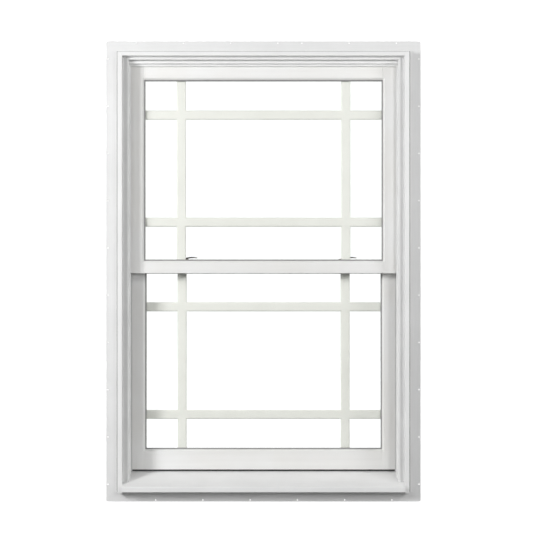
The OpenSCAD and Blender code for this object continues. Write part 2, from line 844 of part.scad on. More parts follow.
// Lever, spindle and cam in one piece; the lever points to +X with the sashes unlocked
module lock_lever(x) {
    hub_r = 7;
    tip_r = 3.5;
    a = lever_len;
    color(bronze) translate([x, pivot_y, 0]) union() {
        // Cam
        translate([0, cam_reach - cam_r, cam_z0]) cylinder(r = cam_r, h = cam_z1 - cam_z0);
        translate([0, 0, cam_z0]) cylinder(r = spindle_r + 1.5, h = cam_z1 - cam_z0);
        // Spindle
        translate([0, 0, cam_z0]) cylinder(r = spindle_r, h = lever_z - cam_z0 + 1);
        // Hub and arched arm
        translate([0, 0, lever_z]) cylinder(r = hub_r, h = 6.5);
        translate([0, 0, lever_z]) intersection() {
            translate([0, hub_r, 0]) rotate([90, 0, 0]) linear_extrude(2 * hub_r) polygon([
                [0, 0.2], [hub_r - 1, 0.2], [0.24 * a, 2.2], [0.42 * a, 3.4], [0.7 * a, 2.8],
                [0.9 * a, 4.2], [a, 5.2], [a, 6.6], [0.84 * a, 8.6], [0.6 * a, 9.5],
                [0.34 * a, 8.8], [0.14 * a, 7.4], [0, 6.5]
            ]);
            linear_extrude(12) union() {
                polygon([[0, -hub_r + 1], [0.5 * a, -5], [a - tip_r, -tip_r],
                         [a - tip_r, tip_r], [0.5 * a, 5], [0, hub_r - 1]]);
                translate([a - tip_r, 0]) circle(r = tip_r);
            }
        }
    }
}

// ---------------------------------------------------------------- glass and grille places

upper_pane_z0 = upper_light_z0 - check_bite;
upper_pane_z1 = upper_light_z1 + glass_bite;
lower_pane_z0 = lower_light_z0 - glass_bite;
lower_pane_z1 = lower_light_z1 + glass_bite;
spacer_in = glass_seal + spacer_h;
upper_cross = [upper_light_z0 + bar_end + 12.7, upper_light_z1 - bar_end];
lower_cross = [lower_light_z0 + bar_end, lower_light_z1 - bar_end];

// ---------------------------------------------------------------- nodes

jamb(LEFT);  // left_jamb
jamb(RIGHT);  // right_jamb
head_jamb();
sill();
side_cladding(LEFT);  // left_cladding
side_cladding(RIGHT);  // right_cladding
head_cladding();
sill_cladding();
side_nail_fin(LEFT);  // left_nail_fin
side_nail_fin(RIGHT);  // right_nail_fin
end_nail_fin(1, head_nails());  // head_nail_fin
end_nail_fin(-1, sill_nails());  // sill_nail_fin
fin_corner_patches();
jamb_liner(LEFT);  // left_jamb_liner
jamb_liner(RIGHT);  // right_jamb_liner
head_liner();
side_interior_stop(LEFT);  // left_interior_stop
side_interior_stop(RIGHT);  // right_interior_stop
head_interior_stop();
head_weatherstrip();
balance_tube(LEFT, upper_balance_y);  // upper_left_balance_tube
balance_tube(RIGHT, upper_balance_y);  // upper_right_balance_tube
balance_tube(LEFT, lower_balance_y);  // lower_left_balance_tube
balance_tube(RIGHT, lower_balance_y);  // lower_right_balance_tube
balance_screws();
frame_screws();

stile(LEFT, upper_y, upper_bottom, sash_top) upper_hollow();  // upper_left_stile
stile(RIGHT, upper_y, upper_bottom, sash_top) upper_hollow();  // upper_right_stile
rail(upper_y, upper_light_z1, sash_top) upper_hollow();  // upper_top_rail
upper_check_rail();
pane(upper_y, upper_pane_z0, upper_pane_z1, 0);  // upper_outer_pane
pane(upper_y, upper_pane_z0, upper_pane_z1, 1);  // upper_inner_pane
spacer(upper_y, upper_pane_z0, upper_pane_z1);  // upper_spacer
grille(upper_y, upper_pane_z0 + spacer_in, upper_pane_z1 - spacer_in, upper_cross);  // upper_grille
upper_glazing_beads();
balance_rod(LEFT, upper_balance_y, upper_bottom + bracket_t, rod_top);  // upper_left_balance_rod
balance_rod(RIGHT, upper_balance_y, upper_bottom + bracket_t, rod_top);  // upper_right_balance_rod
balance_brackets(upper_balance_y, upper_bottom);  // upper_balance_brackets
keeper(-lock_x);  // left_keeper
keeper(lock_x);  // right_keeper
color(bronze) small_screws(lower_top + keeper_t, (keeper_y0 + keeper_y1) / 2, lower_top);  // keeper_screws
check_rail_weatherstrip();

stile(LEFT, lower_y, sash_bottom, lower_top) lower_hollow();  // lower_left_stile
stile(RIGHT, lower_y, sash_bottom, lower_top) lower_hollow();  // lower_right_stile
lower_check_rail();
lower_bottom_rail();
pane(lower_y, lower_pane_z0, lower_pane_z1, 0);  // lower_outer_pane
pane(lower_y, lower_pane_z0, lower_pane_z1, 1);  // lower_inner_pane
spacer(lower_y, lower_pane_z0, lower_pane_z1);  // lower_spacer
grille(lower_y, lower_pane_z0 + spacer_in, lower_pane_z1 - spacer_in, lower_cross);  // lower_grille
lower_glazing_beads();
balance_rod(LEFT, lower_balance_y, sash_bottom + bracket_t, tube_bottom + engage);  // lower_left_balance_rod
balance_rod(RIGHT, lower_balance_y, sash_bottom + bracket_t, tube_bottom + engage);  // lower_right_balance_rod
balance_brackets(lower_balance_y, sash_bottom);  // lower_balance_brackets
lock_body(-lock_x);  // left_lock_body
lock_body(lock_x);  // right_lock_body
color(bronze) small_screws(lock_top, (lock_y0 + lock_y1) / 2, lock_z);  // lock_screws
bottom_weatherstrip();

lock_lever(-lock_x);  // left_lock_lever
lock_lever(lock_x);  // right_lock_lever
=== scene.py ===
# %% [markdown]
# # A double-hung sash window
# The imported CAD model is the fixed frame of this lesson. It holds every board, extrusion, pane and
# screw at its true size, in metres. What is left for Blender is what a person sees: edges that
# are soft instead of razor sharp, cast hardware, twisted rods, brushes, and the finishes.
# The first cell loads the frame and notes its outer box.

# %% Load the frame
import bpy
import json
import math
import random
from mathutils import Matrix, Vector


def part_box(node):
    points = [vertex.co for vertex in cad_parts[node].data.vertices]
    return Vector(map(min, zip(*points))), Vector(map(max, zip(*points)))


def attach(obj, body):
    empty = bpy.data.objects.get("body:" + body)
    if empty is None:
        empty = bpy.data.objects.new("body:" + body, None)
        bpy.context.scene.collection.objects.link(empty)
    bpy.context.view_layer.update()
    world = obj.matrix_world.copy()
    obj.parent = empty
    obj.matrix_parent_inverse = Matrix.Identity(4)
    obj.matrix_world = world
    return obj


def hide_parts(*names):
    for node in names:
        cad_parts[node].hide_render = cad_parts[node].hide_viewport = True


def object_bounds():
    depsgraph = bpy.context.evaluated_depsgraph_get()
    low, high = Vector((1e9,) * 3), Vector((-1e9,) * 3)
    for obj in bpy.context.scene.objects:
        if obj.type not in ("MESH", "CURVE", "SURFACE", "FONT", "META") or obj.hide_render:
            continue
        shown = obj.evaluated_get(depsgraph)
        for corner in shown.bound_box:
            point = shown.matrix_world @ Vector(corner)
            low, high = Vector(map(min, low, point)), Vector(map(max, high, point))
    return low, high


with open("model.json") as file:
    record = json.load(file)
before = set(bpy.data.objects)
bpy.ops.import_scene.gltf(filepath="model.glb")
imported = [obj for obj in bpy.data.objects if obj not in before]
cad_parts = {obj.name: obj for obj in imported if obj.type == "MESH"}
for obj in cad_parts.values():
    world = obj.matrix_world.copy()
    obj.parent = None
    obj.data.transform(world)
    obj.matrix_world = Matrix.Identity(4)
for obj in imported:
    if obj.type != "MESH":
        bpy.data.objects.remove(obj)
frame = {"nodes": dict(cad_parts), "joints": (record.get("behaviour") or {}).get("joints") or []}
cad_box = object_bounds()
nodes = frame["nodes"]
scene = bpy.context.scene
print("nodes", len(nodes), "box", [round(v, 3) for corner in cad_box for v in corner])

# %% [markdown]
# ## Selecting by place
# Modelling by hand is: pick a few faces or edges, then press a key. In code the picking is done by
# where a face lies and which way it looks. These small helpers do that. Everything is deselected
# first, because an operator acts on all that is selected and a freshly loaded model still is.

# %% Helpers that select
MM = 0.001


def deselect():
    if bpy.context.object and bpy.context.object.mode != "OBJECT":
        bpy.ops.object.mode_set(mode="OBJECT")
    bpy.ops.object.select_all(action="DESELECT")


def activate(piece):
    deselect()
    piece.select_set(True)
    bpy.context.view_layer.objects.active = piece


def pick(piece, kind, wanted):
    """Opens the piece in edit mode with only the faces, edges or vertices chosen by wanted."""
    activate(piece)
    bpy.ops.object.mode_set(mode="EDIT")
    bpy.ops.mesh.select_mode(type=kind)
    bpy.ops.mesh.select_all(action="DESELECT")
    bpy.ops.object.mode_set(mode="OBJECT")
    mesh = piece.data
    count = 0
    if kind == "FACE":
        for face in mesh.polygons:
            face.select = bool(wanted(face.center, face.normal))
            count += face.select
    elif kind == "EDGE":
        for edge in mesh.edges:
            a, b = (mesh.vertices[i].co for i in edge.vertices)
            edge.select = bool(wanted(a, b))
            count += edge.select
    else:
        for vertex in mesh.vertices:
            vertex.select = bool(wanted(vertex.co))
            count += vertex.select
    bpy.ops.object.mode_set(mode="EDIT")
    return count


def close_edit():
    bpy.ops.object.mode_set(mode="OBJECT")


def apply_modifiers(piece):
    activate(piece)
    for modifier in list(piece.modifiers):
        bpy.ops.object.modifier_apply(modifier=modifier.name)


def smooth(piece, degrees=35):
    activate(piece)
    bpy.ops.object.shade_smooth_by_angle(angle=math.radians(degrees))


def place_in_mesh(piece):
    """A finished piece sits at the origin, unturned and unscaled, with its place in its mesh."""
    activate(piece)
    bpy.ops.object.transform_apply(location=True, rotation=True, scale=True)


def face_outwards(piece):
    pick(piece, "FACE", lambda c, n: True)
    bpy.ops.mesh.remove_doubles(threshold=1e-6)
    bpy.ops.mesh.normals_make_consistent(inside=False)
    close_edit()


def extrude(x, y, z):
    bpy.ops.mesh.extrude_region_move(TRANSFORM_OT_translate={"value": (x, y, z)})


def join(first, *others):
    activate(first)
    for other in others:
        other.select_set(True)
    bpy.ops.object.join()
    return first


def box_between(name, low, high):
    """A cube primitive, stretched between two corners."""
    deselect()
    middle = [(a + b) / 2 for a, b in zip(low, high)]
    bpy.ops.mesh.primitive_cube_add(size=1, location=middle)
    piece = bpy.context.object
    piece.name = piece.data.name = name
    piece.scale = [b - a for a, b in zip(low, high)]
    place_in_mesh(piece)
    return piece


def finish_piece(piece, body, slot, finish, *replaced):
    """Gives a piece its finish, its body and the CAD nodes that it stands for. slot is not used."""
    piece.data.materials.clear()
    piece.data.materials.append(finish)
    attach(piece, body)
    if replaced:
        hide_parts(*replaced)
    print(f"{piece.name}: {len(piece.data.polygons)} faces, rides on {body}")


# %% [markdown]
# ## Writing finishes
# A finish is a small tree of nodes. Every pattern here reads Object coordinates, which are plain
# metres measured from the middle of the window, so a grain line or a brush mark has its real
# size and runs on from one piece to the next. Small helpers keep the trees short: they open a
# finish, add a noise stretched along a board, turn a pattern into colours, into a span of gloss or
# into relief, mix two colours, and wire the three results to the shader.

# %% Helpers that build finishes
ALONG = {"x": (0.03, 1, 1), "z": (1, 1, 0.03), "even": (1, 1, 1)}


def open_finish(name, colour, roughness):
    finish = bpy.data.materials.new(name)
    finish.use_nodes = True
    tree = finish.node_tree
    shader = tree.nodes["Principled BSDF"]
    shader.inputs["Base Color"].default_value = (*colour, 1)
    shader.inputs["Roughness"].default_value = roughness
    finish.diffuse_color = (*colour, 1)
    return finish, tree, shader


def noise(tree, along, scale, detail=3, rough=0.55):
    """Noise in object metres; along stretches it down the length of a piece."""
    coordinates = tree.nodes.new("ShaderNodeTexCoord")
    mapping = tree.nodes.new("ShaderNodeMapping")
    mapping.inputs["Scale"].default_value = ALONG[along]
    pattern = tree.nodes.new("ShaderNodeTexNoise")
    pattern.inputs["Scale"].default_value = scale
    pattern.inputs["Detail"].default_value = detail
    pattern.inputs["Roughness"].default_value = rough
    tree.links.new(coordinates.outputs["Object"], mapping.inputs["Vector"])
    tree.links.new(mapping.outputs["Vector"], pattern.inputs["Vector"])
    return pattern.outputs["Fac"]


def ramp(tree, value, stops):
    """Colours along a value from 0 to 1: stops is a list of (position, colour)."""
    node = tree.nodes.new("ShaderNodeValToRGB")
    elements = node.color_ramp.elements
    while len(elements) < len(stops):
        elements.new(0.5)
    for element, (position, colour) in zip(elements, stops):
        element.position = position
        element.color = (*colour, 1)
    tree.links.new(value, node.inputs["Fac"])
    return node.outputs["Color"]


def levels(tree, value, low, high):
    """Rescales a pattern that runs from 0.3 to 0.7 to the span low to high."""
    node = tree.nodes.new("ShaderNodeMapRange")
    node.inputs["From Min"].default_value = 0.3
    node.inputs["From Max"].default_value = 0.7
    node.inputs["To Min"].default_value = low
    node.inputs["To Max"].default_value = high
    tree.links.new(value, node.inputs["Value"])
    return node.outputs["Result"]


def relief(tree, height, distance, below=None):
    """Bump of a height pattern, in metres, on top of another bump."""
    node = tree.nodes.new("ShaderNodeBump")
    node.inputs["Strength"].default_value = 1
    node.inputs["Distance"].default_value = distance
    tree.links.new(height, node.inputs["Height"])
    if below is not None:
        tree.links.new(below, node.inputs["Normal"])
    return node.outputs["Normal"]


def mix(tree, share, a, b, blend="MIX"):
    node = tree.nodes.new("ShaderNodeMix")
    node.data_type = "RGBA"
    node.blend_type = blend
    for value, socket in ((share, node.inputs[0]), (a, node.inputs[6]), (b, node.inputs[7])):
        if isinstance(value, bpy.types.NodeSocket):
            tree.links.new(value, socket)
        elif isinstance(value, tuple):
            socket.default_value = (*value, 1)
        else:
            socket.default_value = value
    return node.outputs[2]


def wire(tree, shader, colour, gloss, normal):
    for socket, value in (("Base Color", colour), ("Roughness", gloss), ("Normal", normal)):
        tree.links.new(value, shader.inputs[socket])


def shade(colour, share):
    return tuple(c * share for c in colour)


# %% [markdown]
# ## Extruded vinyl
# The outdoor cladding, the fin and the track liners are vinyl pulled through a die. Close up,
# vinyl shows three things: a satin skin with a faint pebble, hairlines left by the die that run
# the whole length of the piece, and slightly uneven gloss. A single white would read as plaster.
# The colour moves by only about one part in fifty, and the gloss and the relief do the rest.

# %% Vinyl finishes


def vinyl(name, along, colour, roughness, pebble=0.02 * MM, hairline=0.03 * MM):
    finish, tree, shader = open_finish(name, colour, roughness)
    clouds = ramp(tree, noise(tree, "even", 9, 4), [(0.35, shade(colour, 0.965)), (0.65, colour)])
    lines = noise(tree, along, 420, 2)
    streak = ramp(tree, lines, [(0.3, (0.97, 0.97, 0.97)), (0.7, (1, 1, 1))])
    tint = mix(tree, 1.0, clouds, streak, "MULTIPLY")
    gloss = levels(tree, noise(tree, along, 60, 4), roughness - 0.06, roughness + 0.08)
    skin = relief(tree, noise(tree, "even", 900, 2), pebble)
    wire(tree, shader, tint, gloss, relief(tree, lines, hairline, skin))
    return finish


CLAD_WHITE = (0.885, 0.887, 0.883)
clad_up = vinyl("clad_vinyl_upright", "z", CLAD_WHITE, 0.34)
clad_level = vinyl("clad_vinyl_level", "x", CLAD_WHITE, 0.34)
FIN_WHITE = (0.83, 0.832, 0.83)
fin_up = vinyl("fin_vinyl_upright", "z", FIN_WHITE, 0.5, hairline=0.06 * MM)
fin_level = vinyl("fin_vinyl_level", "x", FIN_WHITE, 0.5, hairline=0.06 * MM)
# The upright liners are a darker grey than the head liner: painted shade for the deep side tracks, over
# the liner's own grey.
track_up_with_painted_shade = vinyl("track_vinyl_upright_painted_shade", "z", (0.61, 0.61, 0.605), 0.42)
track_level = vinyl("track_vinyl_level", "x", (0.76, 0.76, 0.755), 0.42)
print("vinyl finishes", clad_up.name, fin_up.name, track_up_with_painted_shade.name)

# %% [markdown]
# ## Painted wood
# Sashes and indoor stops are wood under sprayed and brushed enamel. Paint hides the colour of the
# grain but not its shape: long soft ridges stay, brush hairs leave finer lines over them, and the
# gloss is patchy where the wood drank more. The grain follows the board, so there is one finish
# for upright pieces and one for level pieces.

# %% Painted finishes


def enamel(name, along, colour, roughness, grain=0.12 * MM):
    finish, tree, shader = open_finish(name, colour, roughness)
    ridges = noise(tree, along, 70, 5, 0.6)
    brush = noise(tree, along, 600, 3)
    warm = (colour[0] * 0.97, colour[1] * 0.962, colour[2] * 0.945)
    tint = ramp(tree, noise(tree, "even", 5, 3), [(0.35, warm), (0.65, colour)])
    lines = ramp(tree, ridges, [(0.3, (0.965, 0.963, 0.96)), (0.6, (1, 1, 1))])
    tint = mix(tree, 1.0, tint, lines, "MULTIPLY")
    gloss = levels(tree, noise(tree, along, 30, 4), roughness - 0.07, roughness + 0.1)
    wood = relief(tree, ridges, grain)
    wire(tree, shader, tint, gloss, relief(tree, brush, 0.04 * MM, wood))
    return finish


SASH_WHITE = (0.87, 0.872, 0.865)
INDOOR_WHITE = (0.84, 0.83, 0.80)
sash_up = enamel("sash_enamel_upright", "z", SASH_WHITE, 0.33)
sash_level = enamel("sash_enamel_level", "x", SASH_WHITE, 0.33)
indoor_up = enamel("indoor_enamel_upright", "z", INDOOR_WHITE, 0.4, 0.2 * MM)
indoor_level = enamel("indoor_enamel_level", "x", INDOOR_WHITE, 0.4, 0.2 * MM)
print("painted finishes", sash_up.name, indoor_up.name)

# %% [markdown]
# ## Bare pine
# The backs of the jambs and the head disappear inside the wall, so no one paints them. Pine is
# drawn as growth rings round the heart of the log: circles that are stretched along the board and
# bent by a slow noise. Within a ring the pale early wood darkens slowly and then stops short, which
# is what a saw-shaped wave does. A second, much finer noise gives the pores. Only the side that
# lies against the wall stays bare, so a mask by distance from the middle paints all the rest.

# %% Pine finishes


def pine(name, along, painted, heart):
    finish, tree, shader = open_finish(name, (0.66, 0.44, 0.23), 0.6)
    coordinates = tree.nodes.new("ShaderNodeTexCoord")
    stretch = tree.nodes.new("ShaderNodeMapping")
    stretch.inputs["Scale"].default_value = {"x": (0.1, 1, 1), "z": (1, 1, 0.1)}[along]
    stretch.inputs["Location"].default_value = [-v for v in heart]
    tree.links.new(coordinates.outputs["Object"], stretch.inputs["Vector"])
    rings = tree.nodes.new("ShaderNodeTexWave")
    rings.wave_type = "RINGS"
    rings.rings_direction = "X" if along == "x" else "Z"
    rings.wave_profile = "SAW"
    rings.inputs["Scale"].default_value = 52  # a ring every 6 mm
    rings.inputs["Distortion"].default_value = 2.6
    rings.inputs["Detail"].default_value = 2
    rings.inputs["Detail Scale"].default_value = 0.35
    tree.links.new(stretch.outputs["Vector"], rings.inputs["Vector"])
    early, late = (0.74, 0.545, 0.335), (0.56, 0.355, 0.175)
    wood = ramp(tree, rings.outputs["Fac"], [(0.0, early), (0.5, early), (0.9, late), (1.0, early)])
    pores = noise(tree, along, 900, 3)
    flecks = ramp(tree, pores, [(0.3, (0.86, 0.84, 0.8)), (0.6, (1, 1, 1))])
    wood = mix(tree, 1.0, wood, flecks, "MULTIPLY")
    blotch = ramp(tree, noise(tree, "even", 3, 3), [(0.3, (0.9, 0.88, 0.84)), (0.7, (1, 1, 1))])
    wood = mix(tree, 1.0, wood, blotch, "MULTIPLY")
    if painted is not None:
        split = tree.nodes.new("ShaderNodeSeparateXYZ")
        tree.links.new(coordinates.outputs["Object"], split.inputs["Vector"])
        size = tree.nodes.new("ShaderNodeMath")
        size.operation = "ABSOLUTE"
        tree.links.new(split.outputs["X" if along == "z" else "Z"], size.inputs[0])
        mask = tree.nodes.new("ShaderNodeMath")
        mask.operation = "LESS_THAN"
        mask.inputs[1].default_value = painted
        tree.links.new(size.outputs[0], mask.inputs[0])
        wood = mix(tree, mask.outputs[0], wood, INDOOR_WHITE)
    gloss = levels(tree, pores, 0.5, 0.7)
    skin = relief(tree, pores, 0.1 * MM)
    wire(tree, shader, wood, gloss, relief(tree, rings.outputs["Fac"], 0.12 * MM, skin))
    return finish


outer_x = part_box("right_jamb")[1].x
outer_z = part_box("head_jamb")[1].z
pine_jamb = pine("pine_upright", "z", outer_x - 0.4 * MM, (0.40, 0.05, 0))
pine_head = pine("pine_level", "x", outer_z - 0.4 * MM, (0, 0.05, 0.63))
print("pine is painted inside", round(outer_x, 4), round(outer_z, 4))

# %% [markdown]
# ## Glass
# A pane of float glass is clear, mirrors a little of the sky, and mirrors more at a grazing look.
# Real refraction through four surfaces costs a renderer a lot and shows nothing here, because a
# flat pane shifts what is behind it by less than a millimetre. So the pane mixes a see-through
# shader with a sharp mirror. The share of mirror follows Layer Weight's Facing, which is the same
# from both sides of a surface. A Fresnel node is not: from inside it turns all slanting light
# back, and the bars between the panes would go dark. A slow noise bends the mirror a little.
# Clear glass throws no shadow worth drawing, so the panes are left out of the shadows. Otherwise
# the bars behind two closed-up sashes go black, because a ray may cross only a few surfaces.

# %% Glass finish


def float_glass():
    finish, tree, shader = open_finish("float_glass", (0.93, 0.96, 0.95), 0.02)
    tree.nodes.remove(shader)
    output = tree.nodes["Material Output"]
    clear = tree.nodes.new("ShaderNodeBsdfTransparent")
    clear.inputs["Color"].default_value = (0.994, 0.998, 0.996, 1)
    mirror = tree.nodes.new("ShaderNodeBsdfGlossy")
    mirror.inputs["Color"].default_value = (1, 1, 1, 1)
    mirror.inputs["Roughness"].default_value = 0.02
    wave = relief(tree, noise(tree, "even", 6, 1), 0.4 * MM)
    tree.links.new(wave, mirror.inputs["Normal"])
    facing = tree.nodes.new("ShaderNodeLayerWeight")
    facing.inputs["Blend"].default_value = 0.5
    head_on, slanted, edge_on = (0.012,) * 3, (0.05,) * 3, (0.7,) * 3
    share = ramp(tree, facing.outputs["Facing"], [(0.0, head_on), (0.55, slanted), (1.0, edge_on)])
    blend = tree.nodes.new("ShaderNodeMixShader")
    tree.links.new(share, blend.inputs["Fac"])
    tree.links.new(clear.outputs[0], blend.inputs[1])
    tree.links.new(mirror.outputs[0], blend.inputs[2])
    tree.links.new(blend.outputs[0], output.inputs["Surface"])
    return finish


glass = float_glass()
print("glass finish", glass.name)

# %% [markdown]
# ## Metal
# Three metals are used. Bright zinc on brackets and tubes has a fine brushed grain and cloudy
# spangle. Screws are the same zinc with a yellower passivated tint. The locks are oil-rubbed
# bronze: nearly black in the hollows, warmer where hands and edges rub it. The rubbed places are
# found by a noise at the scale of a fingertip and by the sharpness of the surface.

# %% Metal finishes


def zinc(name, along, colour, roughness, spangled=0.28):
    finish, tree, shader = open_finish(name, colour, roughness)
    shader.inputs["Metallic"].default_value = 1
    grain = noise(tree, along, 800, 3)
    dull = shade(colour, 1 - spangled)
    spangle = ramp(tree, noise(tree, "even", 160, 2), [(0.4, dull), (0.62, colour)])
    gloss = levels(tree, grain, roughness - 0.08, roughness + 0.14)
    wire(tree, shader, spangle, gloss, relief(tree, grain, 0.03 * MM))
    return finish


def rubbed_bronze():
    finish, tree, shader = open_finish("rubbed_bronze", (0.05, 0.042, 0.034), 0.45)
    shader.inputs["Metallic"].default_value = 0.75
    rubbed = noise(tree, "even", 140, 4, 0.65)
    geometry = tree.nodes.new("ShaderNodeNewGeometry")
    edges = ramp(tree, geometry.outputs["Pointiness"], [(0.5, (0, 0, 0)), (0.6, (0.7, 0.7, 0.7))])
    dark = ramp(tree, rubbed, [(0.4, (0.035, 0.031, 0.026)), (0.75, (0.085, 0.066, 0.048))])
    tint = mix(tree, edges, dark, (0.20, 0.125, 0.07))
    gloss = levels(tree, rubbed, 0.32, 0.55)
    wire(tree, shader, tint, gloss, relief(tree, noise(tree, "even", 1500, 2), 0.04 * MM))
    return finish


zinc_bright = zinc("bright_zinc", "z", (0.72, 0.73, 0.74), 0.32)
zinc_screw = zinc("screw_zinc", "even", (0.74, 0.70, 0.60), 0.3)
spacer_metal = zinc("spacer_metal", "z", (0.80, 0.81, 0.81), 0.4, 0.06)
bronze = rubbed_bronze()
print("metal finishes", zinc_bright.name, zinc_screw.name, bronze.name)

# %% [markdown]
# ## Grille enamel and brush pile
# The bars between the panes carry a warmer, creamier enamel than the frame. It is sprayed on
# aluminium, so it shows a fine even orange peel and no grain. The weather brushes are grey pile:
# thousands of fine hairs that scatter light with no gloss at all, drawn here as dark and light
# flecks over the modelled tufts, with a soft sheen.

# %% Grille and pile finishes


def grille_enamel():
    colour = (0.85, 0.853, 0.803)
    finish, tree, shader = open_finish("grille_enamel", colour, 0.38)
    clouds = ramp(tree, noise(tree, "even", 14, 3), [(0.35, (0.825, 0.828, 0.775)), (0.65, colour)])
    gloss = levels(tree, noise(tree, "even", 80, 3), 0.32, 0.46)
    wire(tree, shader, clouds, gloss, relief(tree, noise(tree, "even", 700, 2), 0.03 * MM))
    return finish


def brush_pile():
    finish, tree, shader = open_finish("brush_pile", (0.5, 0.5, 0.49), 0.95)
    hairs = noise(tree, "even", 2200, 3, 0.7)
    fleck = ramp(tree, hairs, [(0.3, (0.30, 0.30, 0.30)), (0.7, (0.62, 0.62, 0.60))])
    tree.links.new(fleck, shader.inputs["Base Color"])
    shader.inputs["Sheen Weight"].default_value = 0.4
    tree.links.new(relief(tree, hairs, 0.3 * MM), shader.inputs["Normal"])
    return finish


def matt_compound(name, colour, darker, lighter, speckle, full):
    """Sealant, rubber and bands of painted shade: dust makes it lighter, in specks that are at their
    lightest at full.
    """
    finish, tree, shader = open_finish(name, colour, 0.6)
    dust = ramp(tree, noise(tree, "even", speckle, 4), [(0.35, darker), (full, lighter)])
    gloss = levels(tree, noise(tree, "even", 300, 3), 0.5, 0.75)
    wire(tree, shader, dust, gloss, relief(tree, noise(tree, "even", 1200, 2), 0.05 * MM))
    return finish


# Both the grey glass sealant and the dark band of painted shadow in the flange step come from here.
def seal_and_shade_compound(name, colour):
    return matt_compound(name, colour, shade(colour, 0.92), shade(colour, 1.06), 120, 0.7)


grille_white = grille_enamel()
pile = brush_pile()
# The glass sealant's grey is partly the sealant's own and partly painted shade along the glass edge.
glass_seal_and_painted_shade = seal_and_shade_compound("sealant_grey_and_painted_shade", (0.32, 0.32, 0.316))
# Not a sealant: a dark grey band that paints the shadow in the step where the cladding meets its
# flange.
step_painted_shadow = seal_and_shade_compound("step_painted_shadow_grey", (0.17, 0.17, 0.167))
# Near-black rubber: partly the rubber's own colour, partly painted shade for the gap under the bottom
# rail.
black_rubber_and_gap_shade = matt_compound("black_rubber_and_gap_shade_finish", (0.035, 0.035, 0.035), (0.025, 0.025, 0.025),
                       (0.06, 0.06, 0.058), 160, 0.75)
print("soft finishes", grille_white.name, pile.name, glass_seal_and_painted_shade.name)

# %% [markdown]
# ## Softening the CAD pieces
# Nothing that comes out of a die, a planer or a paint booth has a perfectly sharp edge, and it is
# the thin highlight on that edge that makes an object look real. A CAD solid arrives as loose
# triangles, so its copy is first sewn together, then its flat faces are dissolved back into single
# faces, and only then can a bevel find the true edges. The copy stands in for its node at the same
# place and size. Sheet vinyl gets a small radius and boards a larger one. Short edges are left out,
# because they are the rims of screw holes, and one tiny rim would hold back every other bevel.

# %% A helper that softens a CAD node


def drop_slivers(reach):
    """In edit mode: merges points closer than reach and drops the faces that this flattens."""
    bpy.ops.mesh.select_all(action="SELECT")
    bpy.ops.mesh.remove_doubles(threshold=reach)
    bpy.ops.mesh.dissolve_degenerate(threshold=reach)


def soft_copy(name, node, radius, segments=2, shape=None, shortest=5 * MM, slivers=False):
    piece = bpy.data.objects.new(name, nodes[node].data.copy())
    piece.data.name = name
    scene.collection.objects.link(piece)
    activate(piece)
    bpy.ops.mesh.customdata_custom_splitnormals_clear()
    pick(piece, "FACE", lambda c, n: True)
    bpy.ops.mesh.remove_doubles(threshold=1e-6)
    bpy.ops.mesh.dissolve_limited(angle_limit=math.radians(0.5))
    close_edit()
    if shape is not None:
        shape(piece)
    pick(piece, "EDGE", lambda a, b: False)
    bpy.ops.mesh.edges_select_sharp(sharpness=math.radians(28))
    close_edit()
    corners = piece.data.vertices
    for edge in piece.data.edges:
        a, b = (corners[i].co for i in edge.vertices)
        if (a - b).length < shortest:
            edge.select = False
    bpy.ops.object.mode_set(mode="EDIT")
    bpy.ops.mesh.bevel(offset=radius, segments=segments, affect="EDGES", clamp_overlap=True)
    if slivers:
        drop_slivers(0.002 * MM)
    close_edit()
    smooth(piece, 40)
    flatten = piece.modifiers.new("flat_faces_stay_flat", "WEIGHTED_NORMAL")
    flatten.weight = 90
    flatten.keep_sharp = True
    apply_modifiers(piece)
    return piece


# %% [markdown]
# ## Cladding, fin and tracks
# The outdoor face is a stair of narrow vinyl steps round the opening, with the sloped sill at the
# foot. The nailing fin is a thin flat strip that the builder nails through. Their soft copies
# need only to know which way they run, which body they ride on and how crisp their edges are.

# %% Soft copies of the frame's extrusions
NOSE_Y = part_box("sill_cladding")[0].y


def round_the_nose(piece):
    """The drip edge of the sill is a full round, so rain runs off and paint holds."""
    tip = NOSE_Y + 1.6 * MM
    pick(piece, "EDGE", lambda a, b: a.y < tip and b.y < tip and abs(a.x - b.x) > 0.5)
    bpy.ops.mesh.bevel(offset=4.5 * MM, segments=6, affect="EDGES", clamp_overlap=True)
    close_edit()


FRAME_SKINS = [
    ("left_clad_trim", "left_cladding", 0.7, clad_up, "cladding"),
    ("right_clad_trim", "right_cladding", 0.7, clad_up, "cladding"),
    ("head_clad_trim", "head_cladding", 0.7, clad_level, "cladding"),
    ("sill_clad_trim", "sill_cladding", 0.8, clad_level, "cladding"),
    ("left_fin_strip", "left_nail_fin", 0.35, fin_up, "nail_fin"),
    ("right_fin_strip", "right_nail_fin", 0.35, fin_up, "nail_fin"),
    ("head_fin_strip", "head_nail_fin", 0.35, fin_level, "nail_fin"),
    ("sill_fin_strip", "sill_nail_fin", 0.35, fin_level, "nail_fin"),
    ("fin_gussets", "fin_corner_patches", 0.35, fin_level, "nail_fin"),
    ("left_track", "left_jamb_liner", 0.5, track_up_with_painted_shade, "liner"),
    ("right_track", "right_jamb_liner", 0.5, track_up_with_painted_shade, "liner"),
    ("head_track", "head_liner", 0.5, track_level, "liner"),
]
for name, node, radius, finish, slot in FRAME_SKINS:
    shape = round_the_nose if node == "sill_cladding" else None
    finish_piece(soft_copy(name, node, radius * MM, 2, shape), "frame", slot, finish, node)

# %% [markdown]
# ## Boards and stops
# The jamb boards, the head and the sill are planed pine. Their arrises are broken with a pass of
# sandpaper, about a millimetre. The indoor stops are small mouldings that keep the lower sash in
# its track, so they get a rounder edge that a hand can slide along.

